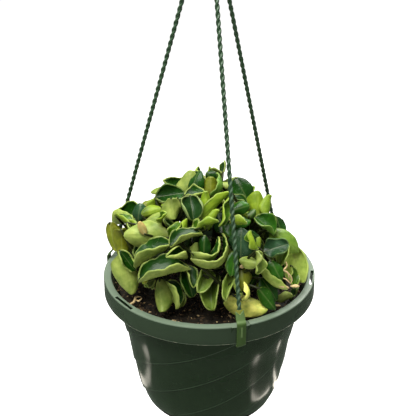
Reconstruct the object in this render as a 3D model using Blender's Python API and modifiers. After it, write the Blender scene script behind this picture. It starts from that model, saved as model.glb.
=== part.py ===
"""A hindu rope plant, a waxy trailing vine with curled leaves, in a plastic hanging pot on three strands.

The origin is where the hanger's hook bears on what holds it up, so the whole object hangs below it.
Heights of the pot, the soil and the plant are worked out from the middle of the rim's top.
"""
import math
import random

import bmesh
import bpy
import numpy as np
from mathutils import Matrix, Vector
from mathutils.bvhtree import BVHTree

GAP = 0.0003  # between pieces that touch on the real object
SIDES = 32  # faces round the pot and the soil

# Pot: a flange with a hanging band round the rim, on a tapering body
RIM_RADIUS = 0.102
POT_HEIGHT = 0.146
BAND_HEIGHT = 0.0178
BAND_THICKNESS = 0.0018
WALL = 0.0018
FLANGE_INNER = 0.0955
# Each pair is a depth below the rim and the radius there.
BODY_RADII = ((0.0175, 0.0900), (0.0436, 0.0864), (0.0620, 0.0820), (0.1000, 0.0758), (0.1180, 0.0723),
              (0.1348, 0.0667))
CORNER_RADII = ((0.1400, 0.0638), (0.1434, 0.0585))
FOOT_OUTER = 0.0515
FOOT_INNER = 0.0440
FOOT_HEIGHT = 0.0015
FLOOR = 0.0020

# Hanger: three strands from the rim to a collar with a hook
FRONT_STRAND = 15.7  # azimuth in degrees, from the front towards +X
STRAND_RADIUS = 0.0021
STRAND_FOOT_RADIUS = 0.100  # where its line meets the height of the rim
STRANDS_MEET = 0.338  # above the rim
STRAND_LOW = 0.0130
COLLAR_LOW = 0.3205
COLLAR_RADIUS = 0.0085
COLLAR_HEIGHT = 0.0120
HOOK_WIRE = 0.0024
HOOK_INNER_RADIUS = 0.0085
HOOK_TOP = 0.366  # the hook's bearing point, above the rim
CLIP_WIDTH = 0.0083
CLIP_THICKNESS = 0.0017
NOTCH_WIDTH = 0.0165
NOTCH_DEPTH = 0.0010
SLOTS = (-51.5, 80.6, 196.4)  # azimuths of the wide slots in the flange
SLOT_WIDTH = 0.026
SLOT_RADIAL = 0.0028

# Soil
SOIL_DEPTH = 0.0125  # of its edge below the rim
SOIL_RISE = 0.004  # towards the middle
HOLE_RADIUS = 0.0031
HOLE_DEPTH = 0.014

# Stems and leaves
STEM_RADIUS = 0.0024
STALK_RADIUS = 0.0016
OUTER_STEMS = (-40, 25, 74, 124, 174, 224, 272)  # azimuths
BLADE = 0.0013  # thickness
CLEAR = 0.0009  # kept between blades, on top of their thickness
SPINE_STEPS = 48
MOUND = Vector((0.096, 0.086, 0.070))  # half axes of the foliage's outer form
MOUND_HEIGHT = 0.022
OUTLINE_LEFT = -0.080  # the outline that filling leaves keep their middles within, seen from the front
OUTLINE_RIGHT = 0.068
OUTLINE_TOP = 0.088

# The front leaves are set out as they are seen from in front and a little above.
EYE = Vector((0, -0.7011, 0.4082))
LOOK_AT = Vector((-0.0012, 0, 0.0657))
TOWARD = (EYE - LOOK_AT).normalized()
RIGHT = Vector((0, 0, 1)).cross(TOWARD).normalized()
UP = TOWARD.cross(RIGHT)


def clear_scene():
    for obj in list(bpy.data.objects):
        bpy.data.objects.remove(obj)


def material(name, color, roughness):
    made = bpy.data.materials.new(name)
    made.use_nodes = True
    shader = made.node_tree.nodes["Principled BSDF"]
    shader.inputs["Base Color"].default_value = (*color, 1)
    shader.inputs["Roughness"].default_value = roughness
    return made


def collection(name):
    made = bpy.data.collections.new(name)
    bpy.context.scene.collection.children.link(made)
    return made


def add_object(name, data, group, look=None):
    obj = bpy.data.objects.new(name, data)
    group.objects.link(obj)
    if look:
        data.materials.append(look)
    return obj


def mesh_from(name, bm):
    mesh = bpy.data.meshes.new(name)
    bm.to_mesh(mesh)
    bm.free()
    return mesh


def on_ring(azimuth, radius, height):
    """A point round the pot's axis: azimuth in degrees from the front towards +X, height above the rim."""
    a = math.radians(azimuth)
    return Vector((radius * math.sin(a), -radius * math.cos(a), height))


def turned(name, profile, group, look, sides=SIDES):
    """A solid turned round the pot's axis from (radius, height) points, down its outer side."""
    bm = bmesh.new()
    points = [bm.verts.new((radius, 0, height)) for radius, height in profile]
    for a, b in zip(points, points[1:]):
        bm.edges.new((a, b))
    obj = add_object(name, mesh_from(name, bm), group, look)
    screw = obj.modifiers.new("turn", "SCREW")
    screw.steps = screw.render_steps = sides
    screw.use_merge_vertices = True
    screw.merge_threshold = 0.00001
    screw.use_smooth_shade = True
    return obj


def body_radius(depth):
    """Outer radius of the pot's body at a depth below the rim."""
    depths, radii = zip(*BODY_RADII)
    return float(np.interp(depth, depths, radii))


def pot_profile():
    """From the middle of the floor up the inner wall, over the flange, down the band and down the body."""
    floor = -POT_HEIGHT + FOOT_HEIGHT + FLOOR
    inner = [(0, floor), (FOOT_OUTER - 0.001, floor), (CORNER_RADII[0][1] - WALL - 0.001, floor + 0.0035)]
    inner += [(radius - WALL, -depth) for depth, radius in reversed(BODY_RADII)]
    inner += [(FLANGE_INNER - 0.0018, -0.0028), (FLANGE_INNER, 0)]
    band = [(RIM_RADIUS - 0.0008, 0), (RIM_RADIUS, -0.0008), (RIM_RADIUS + 0.0003, -BAND_HEIGHT),
            (RIM_RADIUS + 0.0003 - BAND_THICKNESS, -BAND_HEIGHT), (RIM_RADIUS - BAND_THICKNESS, -0.0024),
            (FLANGE_INNER + 0.0016, -0.0024), (0.0925, -0.0116)]
    body = [(radius, -depth) for depth, radius in BODY_RADII + CORNER_RADII]
    foot_top = -POT_HEIGHT + FOOT_HEIGHT
    foot = [(FOOT_OUTER, foot_top), (FOOT_OUTER - 0.0008, -POT_HEIGHT), (FOOT_INNER, -POT_HEIGHT),
            (FOOT_INNER - 0.0008, foot_top), (0, foot_top)]
    return inner + band + body + foot


def add_pot(group, cutters):
    pot = turned("pot", pot_profile(), group, material("pot_green", (0.030, 0.065, 0.040), 0.3))
    for k in range(3):
        notch = box_cutter(f"notch_{k}", FRONT_STRAND + 120 * k, RIM_RADIUS - 0.002, 0,
                           (0.012, NOTCH_WIDTH, 2 * NOTCH_DEPTH), cutters)
        cut(pot, notch)
    for k, azimuth in enumerate(SLOTS):
        slot = box_cutter(f"slot_{k}", azimuth, FLANGE_INNER + 0.0034, 0,
                          (SLOT_RADIAL, SLOT_WIDTH, 0.010), cutters)
        cut(pot, slot)
    return pot


def box_cutter(name, azimuth, radius, height, size, cutters):
    """A box whose sides are radial, tangential and upright."""
    bm = bmesh.new()
    bmesh.ops.create_cube(bm, size=1)
    bmesh.ops.scale(bm, vec=size, verts=bm.verts)
    obj = add_object(name, mesh_from(name, bm), cutters)
    obj.location = on_ring(azimuth, radius, height)
    obj.rotation_euler = (0, 0, math.radians(azimuth - 90))
    obj.hide_render = True
    obj.display_type = "WIRE"
    return obj


def cut(obj, cutter):
    boolean = obj.modifiers.new(cutter.name, "BOOLEAN")
    boolean.operation = "DIFFERENCE"
    boolean.object = cutter


def soil_top(radius):
    """Height of the soil, a low dome."""
    return -SOIL_DEPTH + SOIL_RISE * (1 - (radius / RIM_RADIUS) ** 2)


def add_soil(group, cutters, paths):
    floor = -POT_HEIGHT + FOOT_HEIGHT + FLOOR + GAP
    edge = body_radius(SOIL_DEPTH) - WALL - 2 * GAP
    profile = [(radius, soil_top(radius)) for radius in (0, 0.05, edge)]
    profile += [(radius - WALL - GAP, -depth) for depth, radius in BODY_RADII]
    corner = CORNER_RADII[0][1] - WALL - 0.001 - 2 * GAP
    profile += [(corner, floor + 0.0038), (FOOT_OUTER - 0.002, floor), (0, floor)]
    soil = turned("soil", profile, group, material("potting_soil", (0.012, 0.009, 0.007), 0.95))
    for name, path in paths:
        bm = bmesh.new()
        bmesh.ops.create_cone(bm, cap_ends=True, segments=6, radius1=HOLE_RADIUS, radius2=HOLE_RADIUS,
                              depth=2 * HOLE_DEPTH)
        hole = add_object(f"hole_{name}", mesh_from(name, bm), cutters)
        hole.location = (path[0].x, path[0].y, path[1].z + HOLE_DEPTH - (path[1].z - path[0].z) - GAP)
        hole.hide_render = True
        hole.display_type = "WIRE"
        cut(soil, hole)
    return soil


def tube_curve(name, points, radius, group, look, resolution=2):
    """A tube along points, with a radius for each where a list is given."""
    curve = bpy.data.curves.new(name, "CURVE")
    curve.dimensions = "3D"
    curve.bevel_depth = radius
    curve.bevel_resolution = resolution
    curve.use_fill_caps = True
    spline = curve.splines.new("POLY")
    spline.points.add(len(points) - 1)
    for target, point in zip(spline.points, points):
        target.co = (*point, 1)
    return add_object(name, curve, group, look)


def as_mesh(obj, group):
    """The tube as a mesh with its caps welded; the curve is removed."""
    depsgraph = bpy.context.evaluated_depsgraph_get()
    mesh = bpy.data.meshes.new_from_object(obj.evaluated_get(depsgraph))
    bm = bmesh.new()
    bm.from_mesh(mesh)
    bmesh.ops.remove_doubles(bm, verts=bm.verts, dist=0.00001)
    bmesh.ops.recalc_face_normals(bm, faces=bm.faces)
    bm.to_mesh(mesh)
    bm.free()
    made = bpy.data.objects.new(obj.name + "_solid", mesh)
    group.objects.link(made)
    made.matrix_world = obj.matrix_world
    bpy.data.objects.remove(obj)
    return made


def hanger_plastic():
    return material("hanger_green", (0.035, 0.085, 0.045), 0.35)


def add_strands(group, look):
    """Three plain tubes for the twisted strands, from the clips at the rim to the collar."""
    tilted_end = 0.0007  # how far a strand's square end rises past its middle line
    heights = np.linspace(STRAND_LOW, COLLAR_LOW - GAP - tilted_end, 3)
    for k in range(3):
        azimuth = FRONT_STRAND + 120 * k
        points = [on_ring(azimuth, STRAND_FOOT_RADIUS * (1 - h / STRANDS_MEET), h) for h in heights]
        tube_curve(f"strand_{k + 1}", points, STRAND_RADIUS, group, look)


def add_clips(group, look):
    """A flat strap at the foot of each strand: it leans over the rim and hooks under the band."""
    face = RIM_RADIUS + 0.0003 + GAP
    back = face + CLIP_THICKNESS
    low = -BAND_HEIGHT - GAP
    top_height = STRAND_LOW - 3 * GAP
    top = STRAND_FOOT_RADIUS * (1 - top_height / STRANDS_MEET)
    outline = ((top - 0.0013, top_height), (face, 0.0022), (face, low), (face - 0.0018, low),
               (face - 0.0018, low - 0.0018), (back, low - 0.0018), (back, 0.0030),
               (top + 0.0013, top_height))
    for k in range(3):
        azimuth = FRONT_STRAND + 120 * k
        curve = bpy.data.curves.new(f"clip_{k + 1}", "CURVE")
        curve.dimensions = "2D"
        curve.fill_mode = "BOTH"
        curve.extrude = CLIP_WIDTH / 2
        spline = curve.splines.new("POLY")
        spline.points.add(len(outline) - 1)
        for target, (radius, height) in zip(spline.points, outline):
            target.co = (radius, height, 0, 1)
        spline.use_cyclic_u = True
        obj = add_object(f"clip_{k + 1}", curve, group, look)
        # the outline's x runs outwards and its y upwards
        s, c = math.sin(math.radians(azimuth)), math.cos(math.radians(azimuth))
        obj.rotation_euler = Matrix(((s, 0, -c), (-c, 0, -s), (0, 1, 0))).to_euler()


def add_hook(group, parts, look):
    """The collar that the strands run into, and the open hook above it."""
    top = COLLAR_LOW + COLLAR_HEIGHT
    profile = [(0, top + 0.006), (HOOK_WIRE + 0.0006, top + 0.006), (COLLAR_RADIUS - 0.0015, top),
               (COLLAR_RADIUS, top - 0.0015), (COLLAR_RADIUS, COLLAR_LOW + 0.001),
               (COLLAR_RADIUS - 0.001, COLLAR_LOW), (0, COLLAR_LOW)]
    hook = turned("hook", profile, group, look, sides=16)
    radius = HOOK_INNER_RADIUS + HOOK_WIRE
    middle = HOOK_TOP - HOOK_INNER_RADIUS
    points = [Vector((0, 0, top)), Vector((0, 0, top + 0.006)), Vector((-0.0018, 0, top + 0.0105))]
    for degrees in range(45, 296, 25):
        a = math.radians(degrees)
        points.append(Vector((-radius * math.sin(a), 0, middle - radius * math.cos(a))))
    wire = as_mesh(tube_curve("hook_wire", points, HOOK_WIRE, parts, None), parts)
    join = hook.modifiers.new("join", "BOOLEAN")
    join.operation = "UNION"
    join.object = wire
    wire.hide_render = True
    wire.display_type = "WIRE"
    return hook


def smooth_path(points, count):
    """Points on a smooth curve through the given ones."""
    p = [2 * points[0] - points[1]] + list(points) + [2 * points[-1] - points[-2]]
    last = len(points) - 1
    made = []
    for k in range(count):
        t = k / (count - 1) * last
        i = min(int(t), last - 1)
        t -= i
        a, b, c, d = p[i:i + 4]
        made.append(0.5 * (2 * b + (c - a) * t + (2 * a - 5 * b + 4 * c - d) * t * t
                           + (3 * b - a - 3 * c + d) * t**3))
    return made


def stem_path(azimuth, radius, bends, count=6):
    """From the hole in the soil up through (azimuth step, radius, height) bends."""
    top = soil_top(radius)
    foot = on_ring(azimuth, radius, top - HOLE_DEPTH + 2 * GAP)
    above = on_ring(azimuth, radius, top + 0.002)
    return [foot] + smooth_path([above] + [on_ring(azimuth + a, r, h) for a, r, h in bends], count)


def stem_paths():
    """Name and path of each stem: one in the middle, four round it and others near the rim."""
    made = [("stem_middle", stem_path(0, 0.004, ((30, 0.006, 0.020), (60, 0.008, 0.062))))]
    for k in range(4):
        bends = ((4, 0.028, 0.015), (8, 0.036, 0.045), (14, 0.050, 0.054))
        made.append((f"stem_inner_{k + 1}", stem_path(32 + 90 * k, 0.024, bends)))
    for k, azimuth in enumerate(OUTER_STEMS):
        bends = ((-3, 0.054, 0.008), (-7, 0.062, 0.024), (-14, 0.076, 0.024))
        made.append((f"stem_outer_{k + 1}", stem_path(azimuth, 0.050, bends)))
    return made


def on_mound(across, up, out):
    """The point of the mound seen at (across, up) from the rim's middle, moved out towards the eye."""
    start = Vector(np.divide(EYE - Vector((0, 0, MOUND_HEIGHT)), MOUND))
    aim = RIGHT * across + UP * up - EYE
    ray = Vector(np.divide(aim, MOUND))
    a, b, c = ray.dot(ray), 2 * ray.dot(start), start.dot(start) - 1
    inside = max(b * b - 4 * a * c, 0)
    hit = EYE + aim * (-b - math.sqrt(inside)) / (2 * a)
    return hit + (EYE - hit).normalized() * out


def leaf(name, place, toward, up, turn, face, size, fold, curl, lean=0, bend=0, twist=0, hook=0, wave=0,
         pinch=1, taper=0.6):
    """One leaf; size in mm, angles in degrees.

    toward and up are the directions that it is laid out by. turn is the midrib's direction in their
    plane, lean its rise out of it, and face rolls the blade about it: 0 shows the upper side, 180 the lower.
    fold lifts both halves at the midrib and curl is how far each half turns on to its margin.
    bend arches the midrib, hook adds to that at the tip, twist turns the blade along it.
    A pinch under 1 curls it nearest the midrib, and a low taper gives it blunt ends.
    """
    return {"name": name, "place": Vector(place), "toward": toward, "up": up, "turn": turn, "lean": lean,
            "face": face, "size": (size[0] / 1000, size[1] / 1000), "fold": fold, "curl": curl, "bend": bend,
            "twist": twist, "hook": hook, "wave": wave / 1000, "pinch": pinch, "taper": taper}


def front_leaf(name, at, out, turn, face, size, fold, curl, tilt=0, swing=0, **more):
    """A leaf set out as it is seen from the front: at is (across, up) in mm from the rim's middle."""
    toward = TOWARD * math.cos(math.radians(tilt)) + UP * math.sin(math.radians(tilt))
    up = UP * math.cos(math.radians(tilt)) - TOWARD * math.sin(math.radians(tilt))
    toward = toward * math.cos(math.radians(swing)) + RIGHT * math.sin(math.radians(swing))
    place = on_mound(at[0] / 1000, at[1] / 1000, out / 1000)
    return leaf(name, place, toward, up, turn, face, size, fold, curl, **more)


def front_leaves():
    """The leaves that give the front its look, in the order in which they are placed."""
    f = front_leaf
    return [
        f("ring_outer", (12, 5), -6, 45, 92, (64, 23), 4, (14, 12), tilt=26, swing=24, bend=-200),
        f("ring_inner", (4, 10), -5, 40, 92, (47, 18), 4, (12, 12), tilt=26, swing=20, bend=-210),
        f("loop_middle", (4, -19), -19, -88, 0, (38, 32), 6, (72, 72), lean=28, pinch=0.45, taper=0.35),
        f("loop_right", (15, -15), -17, -84, 4, (32, 20), 30, (54, 54), lean=15, pinch=0.6, taper=0.35),
        f("ring_heart", (-5, 21), -4, 90, 8, (22, 14), -8, (-35, -35), lean=8, bend=25),
        f("front_boat", (-44, -5), 0, 13, 60, (48, 36), 24, (45, 58), bend=24, twist=-14, wave=1.6),
        f("loop_left", (-7, -14), -22, -98, -8, (28, 24), 6, (70, 70), lean=20, pinch=0.5, taper=0.35),
        f("under_broad", (-53, 12), -1, 34, 62, (42, 32), 28, (38, 48), bend=14),
        f("broad_pale", (-59, 28), 2, 183, 186, (46, 32), 8, (32, 42), lean=5, bend=-22, wave=1.5),
        f("dark_boat", (-23, 29), 0, 22, 58, (32, 24), 22, (42, 50), bend=18),
        f("left_roll", (-79, -5), -4, -80, 192, (42, 42), 8, (85, 105), lean=-15, bend=-32, twist=20, taper=0.5),
        f("round_blue", (30, 25), 1, 80, 6, (28, 31), -4, (-28, -24), bend=16),
        f("yellow", (38, -36), -3, -27, 176, (48, 28), 14, (45, 35), bend=10),
        f("yellow_fold_front", (53, -31), 1, -52, 12, (28, 18), -14, (-50, -40), bend=20),
        f("yellow_fold_back", (60, -22), -1, -60, 30, (26, 20), 10, (-30, -30), bend=15),
        f("hanging_fold", (-47, -26), -7, -84, 164, (30, 30), 14, (84, 66), lean=5, bend=-26, taper=0.5),
        f("hanging_lobe", (-35, -25), -6, -70, 76, (27, 24), 18, (50, 44), bend=14, taper=0.5),
        f("olive_pod", (-53, 45), 3, 5, 178, (26, 25), 12, (76, 76), bend=-22),
        f("top_ball", (-20, 82), -2, 80, 178, (27, 30), 8, (76, 78), bend=-50),
        f("top_ball_dark", (-11, 82), -2, 84, 30, (27, 20), -6, (-45, -45), bend=30),
        f("top_dark", (33, 75), -1, -62, 8, (30, 28), -6, (-52, -45), bend=35),
        f("grey_cup", (-17, 59), 0, -82, 6, (24, 32), 16, (70, 70), lean=18),
        f("twist_bright", (5, 61), 2, 43, 140, (38, 17), 10, (35, 25), twist=60),
        f("twist_curl", (12, 54), 3, -78, 88, (40, 15), 6, (18, 18), bend=-120, hook=120),
        f("bud", (47, 63), 1, 88, 172, (25, 28), 14, (75, 66), bend=-30),
        f("bud_side", (55, 60), 1, 76, 140, (22, 18), 26, (45, 45), bend=-15),
        f("right_cup", (54, 42), 2, -42, 40, (24, 26), 16, (92, 78), lean=10, bend=12, taper=0.5),
        f("wavy_right", (84, 3), 0, -75, 10, (33, 34), 10, (88, 38), bend=14, wave=2.2, taper=0.5),
        f("dark_convex", (65, -2), 6, -62, 5, (22, 18), -12, (-48, -42), bend=25),
        f("edge_curl", (58, -10), -2, -52, 105, (40, 20), 12, (38, 32), lean=5, bend=-80),
        f("left_olive", (-85, 25), 3, -86, 188, (31, 27), 14, (80, 78), bend=26, taper=0.5),
        f("far_left", (-94, 31), 0, -78, 168, (28, 25), 12, (76, 70), bend=-25, taper=0.5),
        f("rolled_cup", (-29, 14), -4, 192, -62, (25, 28), 20, (100, 95), lean=35),
        f("right_slope", (73, 26), 0, -36, 14, (34, 24), -6, (-32, -40), bend=22),
        f("pale_convex", (-36, 55), 0, -72, 176, (20, 26), 10, (66, 70), bend=-20),
        f("top_left_wave", (-38, 71), -2, 10, 26, (28, 27), 12, (84, 52), bend=-18, wave=2.0, taper=0.5),
        f("top_left_curl", (-46, 79), -1, 190, 112, (24, 18), 20, (45, 42), bend=-60),
        f("top_cup", (-14, 72), 1, 12, 52, (20, 20), 20, (48, 45), bend=-60),
        f("top_olive", (1, 79), -1, 88, 178, (20, 24), 10, (78, 78), bend=-25),
        f("top_small", (3, 89), -3, 150, 25, (15, 14), -8, (-40, -45)),
        f("top_arch", (14, 80), 0, 70, 92, (32, 15), 5, (15, 15), tilt=20, bend=-160),
        f("ball", (31, -11), -6, -88, 180, (21, 30), 12, (88, 88), bend=-50),
        f("ball_curl", (22, -17), -4, -60, 88, (22, 9), 15, (10, 10), bend=-150),
        f("cluster_left", (44, 24), 1, 100, 98, (20, 15), 35, (42, 32), lean=10),
        f("cluster_mid", (50, 20), 2, 82, 135, (20, 14), 25, (42, 42), lean=5, bend=-20),
        f("cluster_low", (38, 9), 1, 170, 160, (17, 15), 20, (52, 52), lean=10),
        f("twist_down", (47, 6), 1, -80, 40, (24, 18), 16, (66, 10), lean=5, twist=60),
        f("ruffled_blue", (64, 19), 0, 20, 20, (24, 22), 5, (35, 22), wave=2.2),
        f("ruffled_low", (62, 9), -1, 5, 26, (24, 20), 8, (38, 30), wave=1.8),
        f("behind_strand", (19, 5), -4, -80, 20, (26, 16), 10, (-20, -20)),
        f("left_stack_top", (-80, 47), 0, -27, 60, (25, 17), 20, (42, 32), lean=10, bend=15),
        f("left_stack_low", (-77, 41), 2, -32, 66, (24, 16), 24, (34, 30), lean=5, bend=10),
        f("left_curl", (-73, 35), 1, -10, 95, (26, 11), 5, (20, 20), bend=-190),
        f("left_tan", (-64, 39), 2, 120, 170, (13, 9), 15, (40, 40)),
        f("left_blue", (-68, 55), -2, 80, 15, (17, 18), -5, (-42, -42), bend=20),
        f("above_pod", (-55, 55), 0, 12, 160, (19, 16), 12, (62, 62)),
        f("behind_pod", (-50, 64), -1, 74, 120, (18, 15), 25, (50, 50)),
        f("small_dark", (-33, 37), -3, 60, 25, (17, 13), 20, (40, 40)),
        f("ring_side", (-13, 17), 2, 82, 160, (20, 14), 15, (45, 45), lean=5, bend=-20),
        f("ring_top_left", (-25, 41), 1, 100, 110, (18, 15), 25, (52, 52)),
        f("ring_top_mid", (-15, 38), 2, 84, 60, (16, 14), 30, (46, 36)),
        f("ring_top_right", (-2, 42), 3, 15, 115, (20, 13), 20, (42, 32), bend=20),
        f("fold_left_of_loops", (-17, -7), -10, -75, 30, (22, 16), 30, (38, 38), lean=10),
        f("twist_low", (3, 47), 1, 62, 150, (22, 12), 15, (35, 35)),
        f("pale_wedge", (-3, 65), 0, 95, 168, (20, 13), 20, (35, 35)),
        f("top_stripe", (30, 65), 1, -38, 58, (22, 13), 24, (34, 24)),
        f("mid_green_top", (32, 58), 1, 8, 18, (18, 15), -8, (-42, -38), bend=15),
        f("mid_green_a", (30, 45), 1, 5, 20, (17, 13), -6, (-38, -38)),
        f("mid_green_b", (33, 39), 3, 6, 165, (19, 14), 12, (48, 48)),
        f("right_dark", (68, 41), -2, -72, 18, (20, 20), -6, (-44, -44), bend=20),
        f("yellow_curl", (39, -21), -3, 80, 90, (22, 11), 15, (15, 15), bend=-160),
        f("rim_pale", (73, -28), -2, 20, 172, (16, 11), 15, (48, 48)),
        f("rim_dark", (81, -26), -2, 62, 50, (17, 10), 20, (34, 34)),
        f("rim_curl", (87, -31), -2, -8, 80, (20, 13), 20, (34, 34), bend=-70),
        f("left_roll_tip", (-86, -23), 1, -60, 200, (14, 22), 10, (110, 100), lean=50, taper=0.5),
        f("under_dark", (-20, -14), -15, -74, 14, (28, 20), 8, (40, 34)),
        f("under_fold", (-28, -26), -16, -60, 30, (22, 16), 14, (45, 40)),
    ]


# Forms of the leaves that a rule places
FORMS = {
    "cup": {"face": 180, "size": (25, 26), "fold": 10, "curl": (78, 78), "bend": -25},
    "boat": {"face": 55, "size": (30, 23), "fold": 25, "curl": (45, 50), "bend": 18},
    "ring": {"face": 84, "size": (42, 16), "fold": 6, "curl": (15, 20), "bend": -180},
    "hood": {"face": 5, "size": (25, 22), "fold": -8, "curl": (-45, -40), "bend": 25},
    "loop": {"face": 0, "size": (25, 34), "fold": 8, "curl": (84, 84), "lean": 42, "pinch": 0.5},
}
RINGS = ((-12, 16), (4, 17), (20, 16), (36, 14), (52, 11), (68, 8), (85, 2))  # height on the mound, leaves


def within_outline(place):
    """Whether a leaf there stays inside the plant's outline as it is seen from the front."""
    across, up = place.dot(RIGHT), place.dot(UP)
    left = OUTLINE_LEFT + 1.45 * max(0, up - 0.043)
    right = OUTLINE_RIGHT - 0.62 * max(0, up - 0.008)
    return left < across < right and up < OUTLINE_TOP


def filling_leaves(seed):
    """Leaves by a rule, in rings on the mound: fewer and deeper under the front ones than behind."""
    draw = random.Random(seed)
    made = []
    for polar, count in RINGS:
        for k in range(count):
            azimuth = 360 / count * (k + draw.uniform(-0.25, 0.25)) + polar
            p, a = math.radians(polar + draw.uniform(-5, 5)), math.radians(azimuth)
            in_front = math.cos(a) > 0.1
            scale = draw.uniform(0.78, 0.86) if in_front and polar < 50 else draw.uniform(0.88, 0.96)
            unit = Vector((math.cos(p) * math.sin(a), -math.cos(p) * math.cos(a), math.sin(p)))
            place = Vector(np.multiply(unit, MOUND)) * scale + Vector((0, 0, MOUND_HEIGHT))
            while not within_outline(place) and place.xy.length > 0.03:
                place *= 0.96
            toward = Vector(np.divide(unit, MOUND)).normalized()
            up = Vector((0, 0, 1)) - toward * toward.z
            up = up.normalized() if up.length > 0.1 else Vector((0, 1, 0))
            kind = draw.choice(("cup", "cup", "boat", "boat", "ring", "hood", "loop"))
            form = dict(FORMS[kind])
            turn = -90 if kind == "loop" else draw.uniform(0, 360)
            grow = draw.uniform(0.85, 1.1) if in_front else draw.uniform(1.15, 1.4)
            form["size"] = tuple(side * grow for side in form["size"])
            form["face"] += draw.uniform(-15, 15)
            form["lean"] = form.get("lean", 0) + draw.uniform(-10, 10)
            if in_front and (k % 2 or polar < 10 and -50 < math.degrees(a) < 25):
                continue  # half as many in front, and none where the soil shows
            made.append(leaf(f"{kind}_{polar}_{k}", place, toward, up, turn + draw.uniform(-20, 20), **form))
    return made


def ruffled(leaves, seed):
    """Small differences between the leaves: waved margins, a turned tip, a light twist."""
    draw = random.Random(seed)
    for one in leaves:
        one["wave"] = one["wave"] or draw.uniform(0.6, 1.5) / 1000
        one["waves"] = draw.uniform(0.9, 1.7)
        one["phase"] = draw.uniform(0, 2 * math.pi)
        one["hook"] = one["hook"] or draw.uniform(-25, 35)
        one["tuck"] = draw.uniform(-10, 25)
        one["twist"] = one["twist"] or draw.uniform(-18, 18)
        one["flare"] = draw.uniform(-0.25, 0.25)
    return leaves


def half_width(u, taper):
    """Of a blade along its length: 0 at both ends and 1 at the widest."""
    return np.sin(np.pi * np.clip(u, 0, 1) ** 0.9) ** taper


def spine(one, u):
    """Along the midrib at the stations u: places from the blade's middle, and its directions left and up."""
    fine = np.linspace(0, 1, SPINE_STEPS + 1)
    tip, foot = np.clip(fine - 0.5, 0, 1), np.clip(0.5 - fine, 0, 1)
    pitch = np.radians(one["bend"] * (fine - 0.5) + one["hook"] * 4 * tip**2 - one["tuck"] * 4 * foot**2)
    ahead = np.stack([np.cos(pitch), 0 * pitch, -np.sin(pitch)], axis=-1)
    steps = (ahead[1:] + ahead[:-1]) / 2 * one["size"][0] / SPINE_STEPS
    place = np.concatenate([np.zeros((1, 3)), np.cumsum(steps, axis=0)])
    place -= place[SPINE_STEPS // 2]
    at = np.stack([np.interp(u, fine, place[:, k]) for k in range(3)], axis=-1)
    pitch = np.interp(u, fine, pitch)[..., None]
    roll = np.radians(one["twist"] * (u - 0.5))[..., None]
    left = np.array([0, 1, 0])
    top = np.sin(pitch) * np.array([1, 0, 0]) + np.cos(pitch) * np.array([0, 0, 1])
    return at, left * np.cos(roll) + top * np.sin(roll), top * np.cos(roll) - left * np.sin(roll)


def across_half(fold, curl, pinch, t):
    """Across half a blade, from the midrib to the margin: how far out and how far up at the stations t."""
    fine = np.linspace(0, 1, 25)
    turn = fold + curl * fine**pinch
    out = np.concatenate([[0], np.cumsum(np.cos(turn[1:]) + np.cos(turn[:-1]))]) / 48
    rise = np.concatenate([[0], np.cumsum(np.sin(turn[1:]) + np.sin(turn[:-1]))]) / 48
    return np.interp(t, fine, out), np.interp(t, fine, rise)


def blade_points(one, u, v):
    """Points of the blade's middle surface for a grid of stations: u along it, v from -1 to 1 across it."""
    at, left, top = spine(one, u)
    t = np.abs(v)
    out, rise = np.zeros_like(u), np.zeros_like(u)
    for i in range(u.shape[0]):
        opened = 1 + one["flare"] * (2 * u[i, 0] - 1)
        for side, curl in ((1, one["curl"][0]), (-1, one["curl"][1])):
            half = v[i] * side > 0
            fold = math.radians(one["fold"])
            y, z = across_half(fold, math.radians(curl) * opened, one["pinch"], t[i][half])
            out[i][half], rise[i][half] = side * y, z
    width = half_width(u, one["taper"])
    ripple = np.sin(2 * np.pi * one["waves"] * u + one["phase"] + 1.7 * (v > 0))
    out = out * width * one["size"][1] / 2
    rise = rise * width * one["size"][1] / 2 + one["wave"] * t**2 * ripple * width
    return at + out[..., None] * left + rise[..., None] * top


def axes_of(one):
    """The blade's own axes in the plant: along the midrib, to its left, and out of its upper side."""
    turn, lean, face = (math.radians(one[key]) for key in ("turn", "lean", "face"))
    right = one["up"].cross(one["toward"]).normalized()
    flat = right * math.cos(turn) + one["up"] * math.sin(turn)
    side = one["up"] * math.cos(turn) - right * math.sin(turn)
    along = flat * math.cos(lean) + one["toward"] * math.sin(lean)
    front = one["toward"] * math.cos(lean) - flat * math.sin(lean)
    upper = front * math.cos(face) + side * math.sin(face)
    return np.array([along, upper.cross(along), upper])


def in_plant(one, points):
    return np.array(one["place"]) + points @ axes_of(one)


def blade_mesh(one, thickness):
    """The blade as a closed bmesh, split into triangles alike on both faces."""
    rows, columns = blade_grid(one)
    bm = bmesh.new()
    bmesh.ops.create_grid(bm, x_segments=rows, y_segments=columns, size=1)
    flat = np.array([v.co for v in bm.verts])
    order = np.lexsort((flat[:, 1], flat[:, 0]))
    shape = (rows + 1, columns + 1)
    u = stations(flat[order, 0].reshape(shape))
    points = in_plant(one, blade_points(one, u, flat[order, 1].reshape(shape)).reshape(-1, 3))
    bm.verts.ensure_lookup_table()
    for index, point in zip(order, points):
        bm.verts[index].co = point
    bmesh.ops.triangulate(bm, faces=bm.faces, quad_method="FIXED")
    bm.normal_update()
    for vert in bm.verts:
        vert.co -= vert.normal * thickness / 2
    bmesh.ops.solidify(bm, geom=bm.faces[:], thickness=-thickness)
    bmesh.ops.triangulate(bm, faces=bm.faces)
    bmesh.ops.recalc_face_normals(bm, faces=bm.faces)
    return bm


def stations(evenly):
    """Places of the rows along a blade, from their even spread over -1 to 1: closer towards both ends."""
    return 0.5025 + 0.4825 * evenly * (1.25 - 0.25 * evenly**2)


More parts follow.
